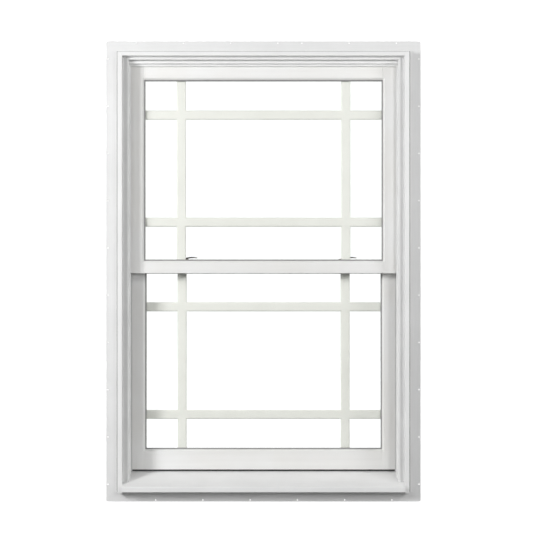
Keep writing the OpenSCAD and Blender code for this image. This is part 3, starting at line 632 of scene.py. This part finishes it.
# %% Soft copies of the boards
BOARDS = [
    ("left_jamb_board", "left_jamb", 0.9, pine_jamb, "frame_wood"),
    ("right_jamb_board", "right_jamb", 0.9, pine_jamb, "frame_wood"),
    ("head_board", "head_jamb", 0.9, pine_head, "frame_wood"),
    ("sill_board", "sill", 0.9, pine_head, "frame_wood"),
    ("left_stop_moulding", "left_interior_stop", 2.4, indoor_up, "indoor_paint"),
    ("right_stop_moulding", "right_interior_stop", 2.4, indoor_up, "indoor_paint"),
    ("head_stop_moulding", "head_interior_stop", 2.4, indoor_level, "indoor_paint"),
]
for name, node, radius, finish, slot in BOARDS:
    segments = 4 if radius > 2 else 2
    finish_piece(soft_copy(name, node, radius * MM, segments), "frame", slot, finish, node)

# %% [markdown]
# ## The two sashes
# A sash is two stiles and two rails round a sealed glass unit. Each bar keeps its own bevel, so a
# fine groove shows where a rail meets a stile, as it does under paint on the real corner joint.
# The bevel round the glass is part of the bar. Indoors a separate bead holds the glass.

# %% Soft copies of the sash bars
for sash in ("upper", "lower"):
    body = f"{sash}_sash"
    bars = [(f"{sash}_left_bar", f"{sash}_left_stile", sash_up),
            (f"{sash}_right_bar", f"{sash}_right_stile", sash_up),
            (f"{sash}_meeting_bar", f"{sash}_check_rail", sash_level)]
    if sash == "upper":
        bars.append(("upper_top_bar", "upper_top_rail", sash_level))
    else:
        bars.append(("lower_bottom_bar", "lower_bottom_rail", sash_level))
    for name, node, finish in bars:
        finish_piece(soft_copy(name, node, 0.9 * MM), body, "sash", finish, node)
    beads = soft_copy(f"{sash}_bead_set", f"{sash}_glazing_beads", 0.8 * MM)
    finish_piece(beads, body, "sash", sash_level, f"{sash}_glazing_beads")
    bars = soft_copy(f"{sash}_grille_bars", f"{sash}_grille", 0.9 * MM, 3)
    finish_piece(bars, body, "grille", grille_white, f"{sash}_grille")

# %% [markdown]
# ## Where the small parts are
# Several CAD nodes hold four or eight equal screws. Each screw is its own closed shell, so its
# place can be read from the node: vertices that share a spot belong together, and so do the
# corners of one triangle. What comes out is one little box per screw.

# %% A helper that finds the separate shells of a node


def shells(node):
    mesh = nodes[node].data
    spots = {}
    spot_of = [spots.setdefault(tuple(round(c, 6) for c in v.co), len(spots)) for v in mesh.vertices]
    leader = list(range(len(spots)))

    def lead(i):
        while leader[i] != i:
            leader[i] = leader[leader[i]]
            i = leader[i]
        return i

    for face in mesh.polygons:
        first = lead(spot_of[face.vertices[0]])
        for vertex in face.vertices[1:]:
            leader[lead(spot_of[vertex])] = first
    groups = {}
    for place, i in spots.items():
        groups.setdefault(lead(i), []).append(place)
    boxes = [([min(c) for c in zip(*g)], [max(c) for c in zip(*g)]) for g in groups.values()]
    return sorted(boxes)


print("lock screws", len(shells("lock_screws")), "frame screws", len(shells("frame_screws")))

# %% [markdown]
# ## A cross-head screw
# Every screw on the window is the same idea: a low domed head with a cross-shaped recess, on a
# plain shank. It is modelled once, one millimetre in radius and pointing up. The dome is the
# bevelled rim of a cylinder, and two thin blocks cut the cross with a Boolean. Copies are scaled,
# turned and moved to each place, and every place is then written into the copy's own mesh.

# %% The master screw
deselect()
bpy.ops.mesh.primitive_cylinder_add(vertices=32, radius=1, depth=0.5, location=(0, 0, 0.25))
master_screw = bpy.context.object
master_screw.name = "master_screw"
pick(master_screw, "EDGE", lambda a, b: a.z > 0.49 and b.z > 0.49)
bpy.ops.mesh.bevel(offset=0.34, segments=4, profile=0.6, affect="EDGES")
close_edit()
deselect()
bpy.ops.mesh.primitive_cylinder_add(vertices=24, radius=0.52, depth=1.2, location=(0, 0, -0.59))
shank = bpy.context.object
pick(shank, "FACE", lambda c, n: n.z < -0.9)
bpy.ops.mesh.inset(thickness=0.12)
bpy.ops.transform.translate(value=(0, 0, -0.2))
close_edit()
for turn in (0, math.pi / 2):
    deselect()
    bpy.ops.mesh.primitive_cube_add(size=1, location=(0, 0, 0.42), rotation=(0, 0, turn),
                                    scale=(1.15, 0.2, 0.5))
    blade = bpy.context.object
    pick(blade, "FACE", lambda c, n: n.z < -0.9)
    bpy.ops.transform.resize(value=(0.55, 0.55, 1), center_override=(0, 0, 0.17))
    close_edit()
    cut = master_screw.modifiers.new("recess", "BOOLEAN")
    cut.operation = "DIFFERENCE"
    cut.solver = "EXACT"
    cut.object = blade
    apply_modifiers(master_screw)
    bpy.data.objects.remove(blade)
join(master_screw, shank)
print("master screw", len(master_screw.data.polygons), "faces")

# %% Screws at every place
WAYS = {"up": (0, 0, 0), "left": (0, -math.pi / 2, 0), "right": (0, math.pi / 2, 0)}


def drive_screws(name, node, body, head, slot, finish, way, turn_seed):
    """One copy of the master for each shell. head is the head's radius and height, and way says
    which side of the shell it is on."""
    spin = random.Random(turn_seed)
    copies = []
    for low_corner, high_corner in shells(node):
        middle = [(a + b) / 2 for a, b in zip(low_corner, high_corner)]
        facing = way(middle)
        seat = {"up": (middle[0], middle[1], high_corner[2] - head[1]),
                "right": (high_corner[0] - head[1], middle[1], middle[2]),
                "left": (low_corner[0] + head[1], middle[1], middle[2])}[facing]
        copy = bpy.data.objects.new(name, master_screw.data.copy())
        scene.collection.objects.link(copy)
        activate(copy)
        copy.rotation_euler = (0, 0, spin.uniform(0, math.pi))
        place_in_mesh(copy)
        copy.scale = (head[0], head[0], 2 * head[1])
        copy.rotation_euler = WAYS[facing]
        copy.location = seat
        place_in_mesh(copy)
        copies.append(copy)
    piece = join(*copies)
    piece.name = piece.data.name = name
    smooth(piece, 40)
    finish_piece(piece, body, slot, finish, node)


# Radius and height of each kind of head
LOCK_HEAD, TUBE_HEAD, CORNER_HEAD = (3.2 * MM, 1.4 * MM), (3.4 * MM, 2.4 * MM), (4.4 * MM, 2.4 * MM)
drive_screws("lock_fixings", "lock_screws", "lower_sash", LOCK_HEAD, "hardware_bronze", bronze,
             lambda m: "up", 1)
drive_screws("keeper_fixings", "keeper_screws", "upper_sash", LOCK_HEAD, "hardware_bronze", bronze,
             lambda m: "up", 2)
drive_screws("balance_fixings", "balance_screws", "frame", TUBE_HEAD, "screw_steel", zinc_screw,
             lambda m: "left" if m[0] > 0 else "right", 3)
drive_screws("corner_fixings", "frame_screws", "frame", CORNER_HEAD, "screw_steel", zinc_screw,
             lambda m: "right" if m[0] > 0 else "left", 4)
bpy.data.objects.remove(master_screw)

# %% [markdown]
# ## Lock bodies and keepers
# A sash lock is a small die casting with a generous round along its upper rim, so that it does
# not catch a sleeve. The CAD body already has the hollow for the cam and the bore for the spindle.
# On the sewn copy the rim edges alone are chosen, by their height and by how far out they lie,
# and get a large bevel before the general small one. Two bevels that meet leave a few slivers,
# which are merged away.

# %% Cast lock bodies


def round_the_rim(piece):
    """Every top edge but the front one, where the hollow leaves a wall only 1.5 mm high."""
    corners = [v.co for v in piece.data.vertices]
    low = [min(v[i] for v in corners) for i in range(3)]
    high = [max(v[i] for v in corners) for i in range(3)]

    def on_rim(v):
        out_x = min(v.x - low[0], high[0] - v.x)
        out_y = min(v.y - low[1], high[1] - v.y)
        round_corner = out_x < 4.1 * MM and out_y < 4.1 * MM
        return high[2] - v.z < 0.01 * MM and (out_x < 1 * MM or out_y < 0.5 * MM or round_corner)

    def wanted(a, b):
        front = a.y - low[1] < 0.05 * MM and b.y - low[1] < 0.05 * MM
        return on_rim(a) and on_rim(b) and not front

    chosen = pick(piece, "EDGE", wanted)
    bpy.ops.mesh.bevel(offset=2.2 * MM, segments=5, profile=0.55, affect="EDGES", clamp_overlap=False)
    drop_slivers(0.02 * MM)
    close_edit()
    print(piece.name, "rim edges", chosen)


for side in ("left", "right"):
    casting = soft_copy(f"{side}_lock_casting", f"{side}_lock_body", 0.25 * MM, 2, round_the_rim,
                        slivers=True)
    finish_piece(casting, "lower_sash", "hardware_bronze", bronze, f"{side}_lock_body")
    strike = soft_copy(f"{side}_strike", f"{side}_keeper", 0.5 * MM, 3)
    finish_piece(strike, "upper_sash", "hardware_bronze", bronze, f"{side}_keeper")

# %% [markdown]
# ## Lock levers
# The lever is what a hand feels: a round hub, an arm that rises in an arch so that a finger fits
# under it, and a flattened tip. It starts as one small block beside the hub. Its end face is
# extruded step by step, and after each step that face is moved up or down and made wider or
# thinner. Subdivision then turns the steps into one smooth casting, and Boolean unions fuse it with
# the hub, the spindle and the cam that hooks under the keeper.

# %% Swept levers
LEVER_HEIGHT = 9.5 * MM  # from the underside of the hub to the top of the arch
HUB_RADIUS, HUB_HEIGHT, HUB_ROUND = 7 * MM, 6.9 * MM, 2.2 * MM
SPINDLE_RADIUS = 4 * MM
CAM_RADIUS, CAM_THICKNESS = 10 * MM, 4 * MM
# For each step: run and rise in millimetres, then what share of its width and thickness is kept
ARM = [(5.0, 0.9, 0.92, 0.95), (6.0, 1.3, 0.93, 0.9), (7.0, 0.8, 0.95, 0.92),
       (7.0, 0.0, 0.92, 0.9), (6.5, -0.6, 0.88, 0.78), (4.5, -0.5, 0.85, 0.75), (2.4, -0.3, 0.7, 0.7)]


def cylinder(name, radius, bottom, top, x, y, rim=0.0):
    deselect()
    bpy.ops.mesh.primitive_cylinder_add(vertices=48, radius=radius, depth=top - bottom,
                                        location=(x, y, (top + bottom) / 2))
    piece = bpy.context.object
    piece.name = name
    place_in_mesh(piece)
    if rim:
        pick(piece, "EDGE", lambda a, b: top - a.z < 1e-5 and top - b.z < 1e-5)
        bpy.ops.mesh.bevel(offset=rim, segments=5, affect="EDGES")
        close_edit()
    return piece


def fuse(first, *others):
    for other in others:
        union = first.modifiers.new("union", "BOOLEAN")
        union.operation = "UNION"
        union.solver = "EXACT"
        union.object = other
        apply_modifiers(first)
        bpy.data.objects.remove(other)
    return first


def lever(name, node, joint):
    x, y = joint["pos_m"][:2]
    low_corner, high_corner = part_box(node)
    base = high_corner.z - LEVER_HEIGHT
    arm = box_between(name, (x + 1 * MM, y - 6 * MM, base + 0.6 * MM),
                      (x + 6 * MM, y + 6 * MM, base + 6.4 * MM))
    pick(arm, "FACE", lambda c, n: n.x > 0.9)
    for run, rise, wide, thick in ARM:
        extrude(run * MM, 0, rise * MM)
        bpy.ops.transform.resize(value=(1, wide, thick))
    close_edit()
    round_off = arm.modifiers.new("round_off", "SUBSURF")
    round_off.levels = round_off.render_levels = 3
    apply_modifiers(arm)
    hub = cylinder("hub", HUB_RADIUS, base, base + HUB_HEIGHT, x, y, HUB_ROUND)
    spindle = cylinder("spindle", SPINDLE_RADIUS, low_corner.z + 0.5 * MM, base + 1 * MM, x, y)
    cam = cylinder("cam", CAM_RADIUS, low_corner.z, low_corner.z + CAM_THICKNESS, x,
                   high_corner.y - CAM_RADIUS)
    pick(cam, "FACE", lambda c, n: True)
    bpy.ops.mesh.bevel(offset=0.5 * MM, segments=2, affect="EDGES")
    close_edit()
    piece = fuse(arm, hub, spindle, cam)
    smooth(piece, 45)
    return piece


joints = {joint["name"]: joint for joint in frame["joints"]}
for side in ("left", "right"):
    piece = lever(f"{side}_lever_arm", f"{side}_lock_lever", joints[f"{side}_lock_turn"])
    finish_piece(piece, f"{side}_lock_lever", "hardware_bronze", bronze, f"{side}_lock_lever")

# %% [markdown]
# ## Spiral balance rods
# A spiral balance is a flat steel strip twisted along its whole length. As the sash moves, the
# strip turns a spring inside the tube. The strip is a thin block, cut across many times so that it
# can bend, and twisted by a Simple Deform modifier. Four rods repeat it, so one helper makes them
# all, and the twist always has the same pitch whatever the length.

# %% Twisted rods
TWIST_PITCH = 26 * MM
STRIP_HALF = (2.3 * MM, 0.7 * MM)
CUTS_PER_TURN = 18


def spiral_rod(name, node, body):
    low_corner, high_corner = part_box(node)
    x, y = (low_corner.x + high_corner.x) / 2, (low_corner.y + high_corner.y) / 2
    length = high_corner.z - low_corner.z
    turns = length / TWIST_PITCH
    rod = box_between(name, (-STRIP_HALF[0], -STRIP_HALF[1], 0), (*STRIP_HALF, length))
    pick(rod, "FACE", lambda c, n: True)
    steps = int(turns * CUTS_PER_TURN)
    for i in range(1, steps):
        bpy.ops.mesh.select_all(action="SELECT")
        bpy.ops.mesh.bisect(plane_co=(0, 0, length * i / steps), plane_no=(0, 0, 1))
    close_edit()
    twist = rod.modifiers.new("twist", "SIMPLE_DEFORM")
    twist.deform_method = "TWIST"
    twist.deform_axis = "Z"
    twist.angle = turns * 2 * math.pi
    apply_modifiers(rod)
    rod.location = (x, y, low_corner.z)
    place_in_mesh(rod)
    smooth(rod, 50)
    finish_piece(rod, body, "balance_steel", zinc_bright, node)


for sash in ("upper", "lower"):
    for side in ("left", "right"):
        spiral_rod(f"{sash}_{side}_spiral", f"{sash}_{side}_balance_rod", f"{sash}_sash")
        nodes[f"{sash}_{side}_balance_tube"].data.materials[0] = zinc_bright
    clips = soft_copy(f"{sash}_clips", f"{sash}_balance_brackets", 0.3 * MM)
    finish_piece(clips, f"{sash}_sash", "balance_steel", zinc_bright, f"{sash}_balance_brackets")

# %% [markdown]
# ## Weather brushes
# Where two sashes slide past each other, and above the upper one, a strip of pile keeps the draught
# out. It is a stiff backing with rows of short tufts. One tuft is a five-sided cone with its tip
# pulled aside. An Array modifier lays a row of them, and the row is copied once with a shift of
# half a step so that the gaps are covered.

# %% Brush strips


def brush(name, node, body, step=3.2 * MM):
    """Backing on the low-y side, tufts that reach the high-y side of the CAD box."""
    low_corner, high_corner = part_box(node)
    depth = high_corner.y - low_corner.y
    back = 0.3 * depth
    backing = box_between(name, low_corner, (high_corner.x, low_corner.y + back, high_corner.z))
    pick(backing, "FACE", lambda c, n: n.y > 0.9)
    bpy.ops.mesh.inset(thickness=0.4 * MM)
    bpy.ops.transform.translate(value=(0, -0.2 * back, 0))
    close_edit()
    rows = 2
    height = (high_corner.z - low_corner.z) / rows
    pieces = [backing]
    for row in range(rows):
        deselect()
        bpy.ops.mesh.primitive_cone_add(vertices=5, radius1=0.5 * step, radius2=0.26 * step,
                                        depth=depth - back)
        tuft = bpy.context.object
        tuft.rotation_euler = (-math.pi / 2, 0, 0)
        place_in_mesh(tuft)
        pick(tuft, "FACE", lambda c, n: n.y > 0.9)
        bpy.ops.transform.translate(value=(0.2 * step, 0, (0.14 - 0.28 * row) * step))
        close_edit()
        tuft.location = (low_corner.x + (0.6 + 0.5 * row) * step, low_corner.y + (back + depth) / 2,
                         low_corner.z + height * (row + 0.5))
        place_in_mesh(tuft)
        line = tuft.modifiers.new("line", "ARRAY")
        line.use_relative_offset = False
        line.use_constant_offset = True
        line.constant_offset_displace = (step, 0, 0)
        line.count = int((high_corner.x - low_corner.x - 1.4 * step) / step)
        apply_modifiers(tuft)
        pieces.append(tuft)
    piece = join(*pieces)
    finish_piece(piece, body, "weatherstrip", pile, node)


brush("head_brush", "head_weatherstrip", "frame")
brush("meeting_brush", "check_rail_weatherstrip", "upper_sash")

# %% [markdown]
# ## Bulb seal under the bottom rail
# The lower sash closes on a soft hollow seal. Its section is a flat root with two round bulbs. The
# root is a thin block as long as the rail. Its underside is inset into two lands, which are pushed
# down, and a wide bevel rounds each of them.

# %% Bulb seal
ROOT = 1 * MM
low_corner, high_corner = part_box("bottom_weatherstrip")
bulbs = box_between("bottom_bulb_seal", (low_corner.x, low_corner.y, high_corner.z - ROOT), high_corner)
pick(bulbs, "FACE", lambda c, n: True)
bpy.ops.mesh.bisect(plane_co=(0, (low_corner.y + high_corner.y) / 2, 0), plane_no=(0, 1, 0))
close_edit()
pick(bulbs, "FACE", lambda c, n: n.z < -0.9)
bpy.ops.mesh.inset(thickness=0.7 * MM, use_individual=True)
extrude(0, 0, low_corner.z - high_corner.z + ROOT)
close_edit()
pick(bulbs, "EDGE", lambda a, b: a.z - low_corner.z < 1e-5 and b.z - low_corner.z < 1e-5)
bpy.ops.mesh.bevel(offset=1.6 * MM, segments=5, affect="EDGES")
close_edit()
smooth(bulbs, 50)
# The bulb seal's near-black is partly black rubber and partly painted shade in the gap under the rail.
finish_piece(bulbs, "lower_sash", "weatherstrip", black_rubber_and_gap_shade, "bottom_weatherstrip")

# %% [markdown]
# ## Lines of sealant and painted shadow
# A thin bead of grey sealant closes the joint between each bevelled bar and its glass. Its grey is
# deepened beyond the sealant's own, so the bead also paints the shade along the glass edge. A
# darker band runs in the step where the cladding meets its nailing flange: it is painted shadow for
# that step, not sealant. A bead is made as a picture frame: a plane of the right size is inset, the
# middle is deleted, and the rim that is left is extruded towards the street. Then the front edge on
# one side is pushed back, which leaves a wedge that leans against the bar and meets the glass. Round
# the glass the bar flares open in a bevel, so the wedge's tall edge is widened by the same slope and
# stays against it.

# %% Sealant beads and a band of painted shadow


def bead_frame(name, low_x, high_x, low_z, high_z, y, width, depth, lean, flare=0.0):
    """lean is "out" when the wedge is tall at its outer rim, and "in" when at its inner rim.
    flare widens the tall outer rim, so that it follows a bevel."""
    middle_x, middle_z = (low_x + high_x) / 2, (low_z + high_z) / 2
    half_x, half_z = (high_x - low_x) / 2, (high_z - low_z) / 2
    deselect()
    bpy.ops.mesh.primitive_plane_add(size=1, location=(middle_x, y, middle_z),
                                     rotation=(math.pi / 2, 0, 0))
    piece = bpy.context.object
    piece.name = piece.data.name = name
    piece.scale = (2 * half_x, 2 * half_z, 1)
    place_in_mesh(piece)
    pick(piece, "FACE", lambda c, n: True)
    bpy.ops.mesh.inset(thickness=width)
    bpy.ops.mesh.delete(type="FACE")
    close_edit()
    pick(piece, "FACE", lambda c, n: True)
    extrude(0, -depth, 0)
    close_edit()

    def on_low_rim(v):
        inside = abs(v.x - middle_x) < half_x - width / 2 and abs(v.z - middle_z) < half_z - width / 2
        return v.y < y - depth / 2 and inside == (lean == "out")

    pick(piece, "VERT", on_low_rim)
    bpy.ops.transform.translate(value=(0, 0.8 * depth, 0))
    close_edit()
    if flare:
        pick(piece, "VERT", lambda v: v.y < y - 0.9 * depth)
        bpy.ops.transform.resize(value=(1 + flare / half_x, 1, 1 + flare / half_z),
                                 center_override=(middle_x, y, middle_z))
        close_edit()
    face_outwards(piece)
    return piece


GLASS_BEAD_WIDTH, GLASS_BEAD_DEPTH, GLASS_BEAD_FLARE = 2.2 * MM, 4.7 * MM, 2.5 * MM
RAILS = {"upper": ("upper_check_rail", "upper_top_rail"),
         "lower": ("lower_bottom_rail", "lower_check_rail")}
# Each sash's sealant line is a real bead whose deepened grey also paints the shade at the glass edge.
for sash, (rail_below, rail_above) in RAILS.items():
    stile_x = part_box(f"{sash}_right_stile")[0].x
    seal_and_shadow_bead = bead_frame(f"{sash}_sealant_line", -stile_x, stile_x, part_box(rail_below)[1].z,
                      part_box(rail_above)[0].z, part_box(f"{sash}_outer_pane")[0].y, GLASS_BEAD_WIDTH,
                      GLASS_BEAD_DEPTH, "out", GLASS_BEAD_FLARE)
    finish_piece(seal_and_shadow_bead, f"{sash}_sash", "weatherstrip", glass_seal_and_painted_shade)
    for pane in ("outer", "inner"):
        nodes[f"{sash}_{pane}_pane"].data.materials[0] = glass
        nodes[f"{sash}_{pane}_pane"].visible_shadow = False
    nodes[f"{sash}_spacer"].data.materials[0] = spacer_metal

STEP_WIDTH, STEP_RISE, STEP_DEPTH = 8 * MM, 6 * MM, 8 * MM
face_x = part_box("right_cladding")[1].x - STEP_WIDTH
face_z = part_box("head_cladding")[1].z - STEP_RISE
# A dark band in the step where the cladding meets its flange paints the shadow that falls in that step.
STEP_SHADOW_BAND = 4.2 * MM
reach_x, reach_z = face_x + STEP_SHADOW_BAND, face_z + STEP_SHADOW_BAND
seal_and_shadow_bead = bead_frame("flange_sealant_line", -reach_x, reach_x, -reach_z, reach_z, -STEP_DEPTH,
                  STEP_SHADOW_BAND, STEP_SHADOW_BAND, "in")
finish_piece(seal_and_shadow_bead, "frame", "weatherstrip", step_painted_shadow)

# %% [markdown]
# ## Wiper under the bottom rail, painted shadow
# The joint between the closed sash and the sill reads as one black line from the street: that line is
# the shadow in the gap under the rail. A near-black rubber wiper set just behind the rail's front
# edge fills the gap and paints that shadow. It begins as a thin block. The underside is pulled down
# and forward in two steps and made thinner each time, so the lip ends as a thin blade that stops
# just short of the slope.

# %% Wiper that paints the gap's shadow
rail_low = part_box("lower_bottom_rail")[0]
sash_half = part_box("lower_right_stile")[1].x - 9 * MM
gap_shadow_wiper = box_between("bottom_wiper_painted_shadow", (-sash_half, rail_low.y + 1.4 * MM, rail_low.z - 1.5 * MM),
                    (sash_half, rail_low.y + 5.4 * MM, rail_low.z))
pick(gap_shadow_wiper, "FACE", lambda c, n: n.z < -0.9)
for drop, ahead, thin in ((1.8, 0.2, 0.7), (2.2, 0.6, 0.45)):
    extrude(0, -ahead * MM, -drop * MM)
    bpy.ops.transform.resize(value=(1, thin, 1))
close_edit()
smooth(gap_shadow_wiper, 40)
# Its near-black paints the shadow in the gap between the sash and the sill.
finish_piece(gap_shadow_wiper, "lower_sash", "weatherstrip", black_rubber_and_gap_shade)

# %% [markdown]
# ## Stage
# The window stands on a plain pale floor that runs back into a plain white background. Two
# different jobs are kept apart with the Light Path node. To the camera the world is pure white. To
# the window it is only a weak even fill, because a white room on all sides would light every
# groove and leave no shade. The floor is treated the same way: nearly white to look at, with a
# faint shadow, but it sends little light up under the sill.

# %% Floor and world
scene.view_settings.view_transform = "Standard"
FILL, SEEN_SKY = 0.12, 1.12  # strength of the world for the window, and for the camera
SEEN_FLOOR, SEEN_SHARE = 1.5, 0.8  # the floor's glow, and how much of what is seen it makes up
deselect()
bpy.ops.mesh.primitive_plane_add(size=14, location=(0, 0, cad_box[0].z - 0.5 * MM))
floor = bpy.context.object
floor.name = "studio_floor"
paint, tree, shader = open_finish("floor_paint", (0.35, 0.35, 0.35), 0.9)
glow = tree.nodes.new("ShaderNodeEmission")
seen = tree.nodes.new("ShaderNodeLightPath")
look = tree.nodes.new("ShaderNodeMixShader")
strength = tree.nodes.new("ShaderNodeMath")
strength.operation = "MULTIPLY"
strength.inputs[1].default_value = SEEN_SHARE
tree.links.new(seen.outputs["Is Camera Ray"], strength.inputs[0])
tree.links.new(strength.outputs[0], look.inputs["Fac"])
tree.links.new(shader.outputs[0], look.inputs[1])
tree.links.new(glow.outputs[0], look.inputs[2])
tree.links.new(look.outputs[0], tree.nodes["Material Output"].inputs["Surface"])
glow.inputs["Strength"].default_value = SEEN_FLOOR
floor.data.materials.append(paint)

sky = bpy.data.worlds.new("studio")
scene.world = sky
sky.use_nodes = True
tree = sky.node_tree
background = tree.nodes["Background"]
background.inputs["Color"].default_value = (1, 1, 1, 1)
seen = tree.nodes.new("ShaderNodeLightPath")
strength = tree.nodes.new("ShaderNodeMapRange")
strength.inputs["To Min"].default_value = FILL
strength.inputs["To Max"].default_value = SEEN_SKY
tree.links.new(seen.outputs["Is Camera Ray"], strength.inputs["Value"])
tree.links.new(strength.outputs[0], background.inputs["Strength"])

# %% [markdown]
# ## Light
# White on white shows its shape only by shade. The main light stands low on the left, close to the
# plane of the window, so that the outer face throws a shadow on the steps behind it and the left
# side of every hollow goes grey. Three weaker lights open that shade again: one high at the front
# for the ledges, and two on the right, one near the front and one near the plane of the window. Two
# more stand in the room, for anyone who walks round. Each is a large disc, since a small lamp gives
# hard shadows.

# %% Soft lights
LAMPS = [  # name, place, size, watts
    ("key_left", (-2.6, -2.2, 0.8), 0.8, 74),
    ("front_left", (-1.7, -3.4, 2.0), 0.9, 16),
    ("front_right", (1.9, -4.2, 0.9), 1.0, 45),
    ("side_right", (2.6, -1.6, 1.0), 0.8, 26),
    ("room_left", (2.4, 3.4, 1.2), 1.4, 80),
    ("room_right", (-2.6, 3.0, 0.8), 1.4, 50),
]
for name, place, size, watts in LAMPS:
    panel = bpy.data.lights.new(name, "AREA")
    panel.shape = "DISK"
    panel.size = size
    panel.energy = watts
    lamp = bpy.data.objects.new(name, panel)
    scene.collection.objects.link(lamp)
    lamp.location = place
    lamp.rotation_euler = lamp.location.normalized().to_track_quat("Z", "Y").to_euler()
print("lamps", [lamp[0] for lamp in LAMPS])

# %% [markdown]
# ## Camera
# The camera stands in the street, 4.5 m away and square to the window, so the jambs stay upright.
# From so far away its long lens shows only a little of their inner sides.

# %% Camera
lens = bpy.data.cameras.new("street_view")
camera = bpy.data.objects.new("street_view", lens)
scene.collection.objects.link(camera)
camera.location = (0.021, -4.5, 0.005)
camera.rotation_euler = (math.pi / 2, 0, 0)
lens.lens = 93
lens.sensor_width = 36
scene.camera = camera
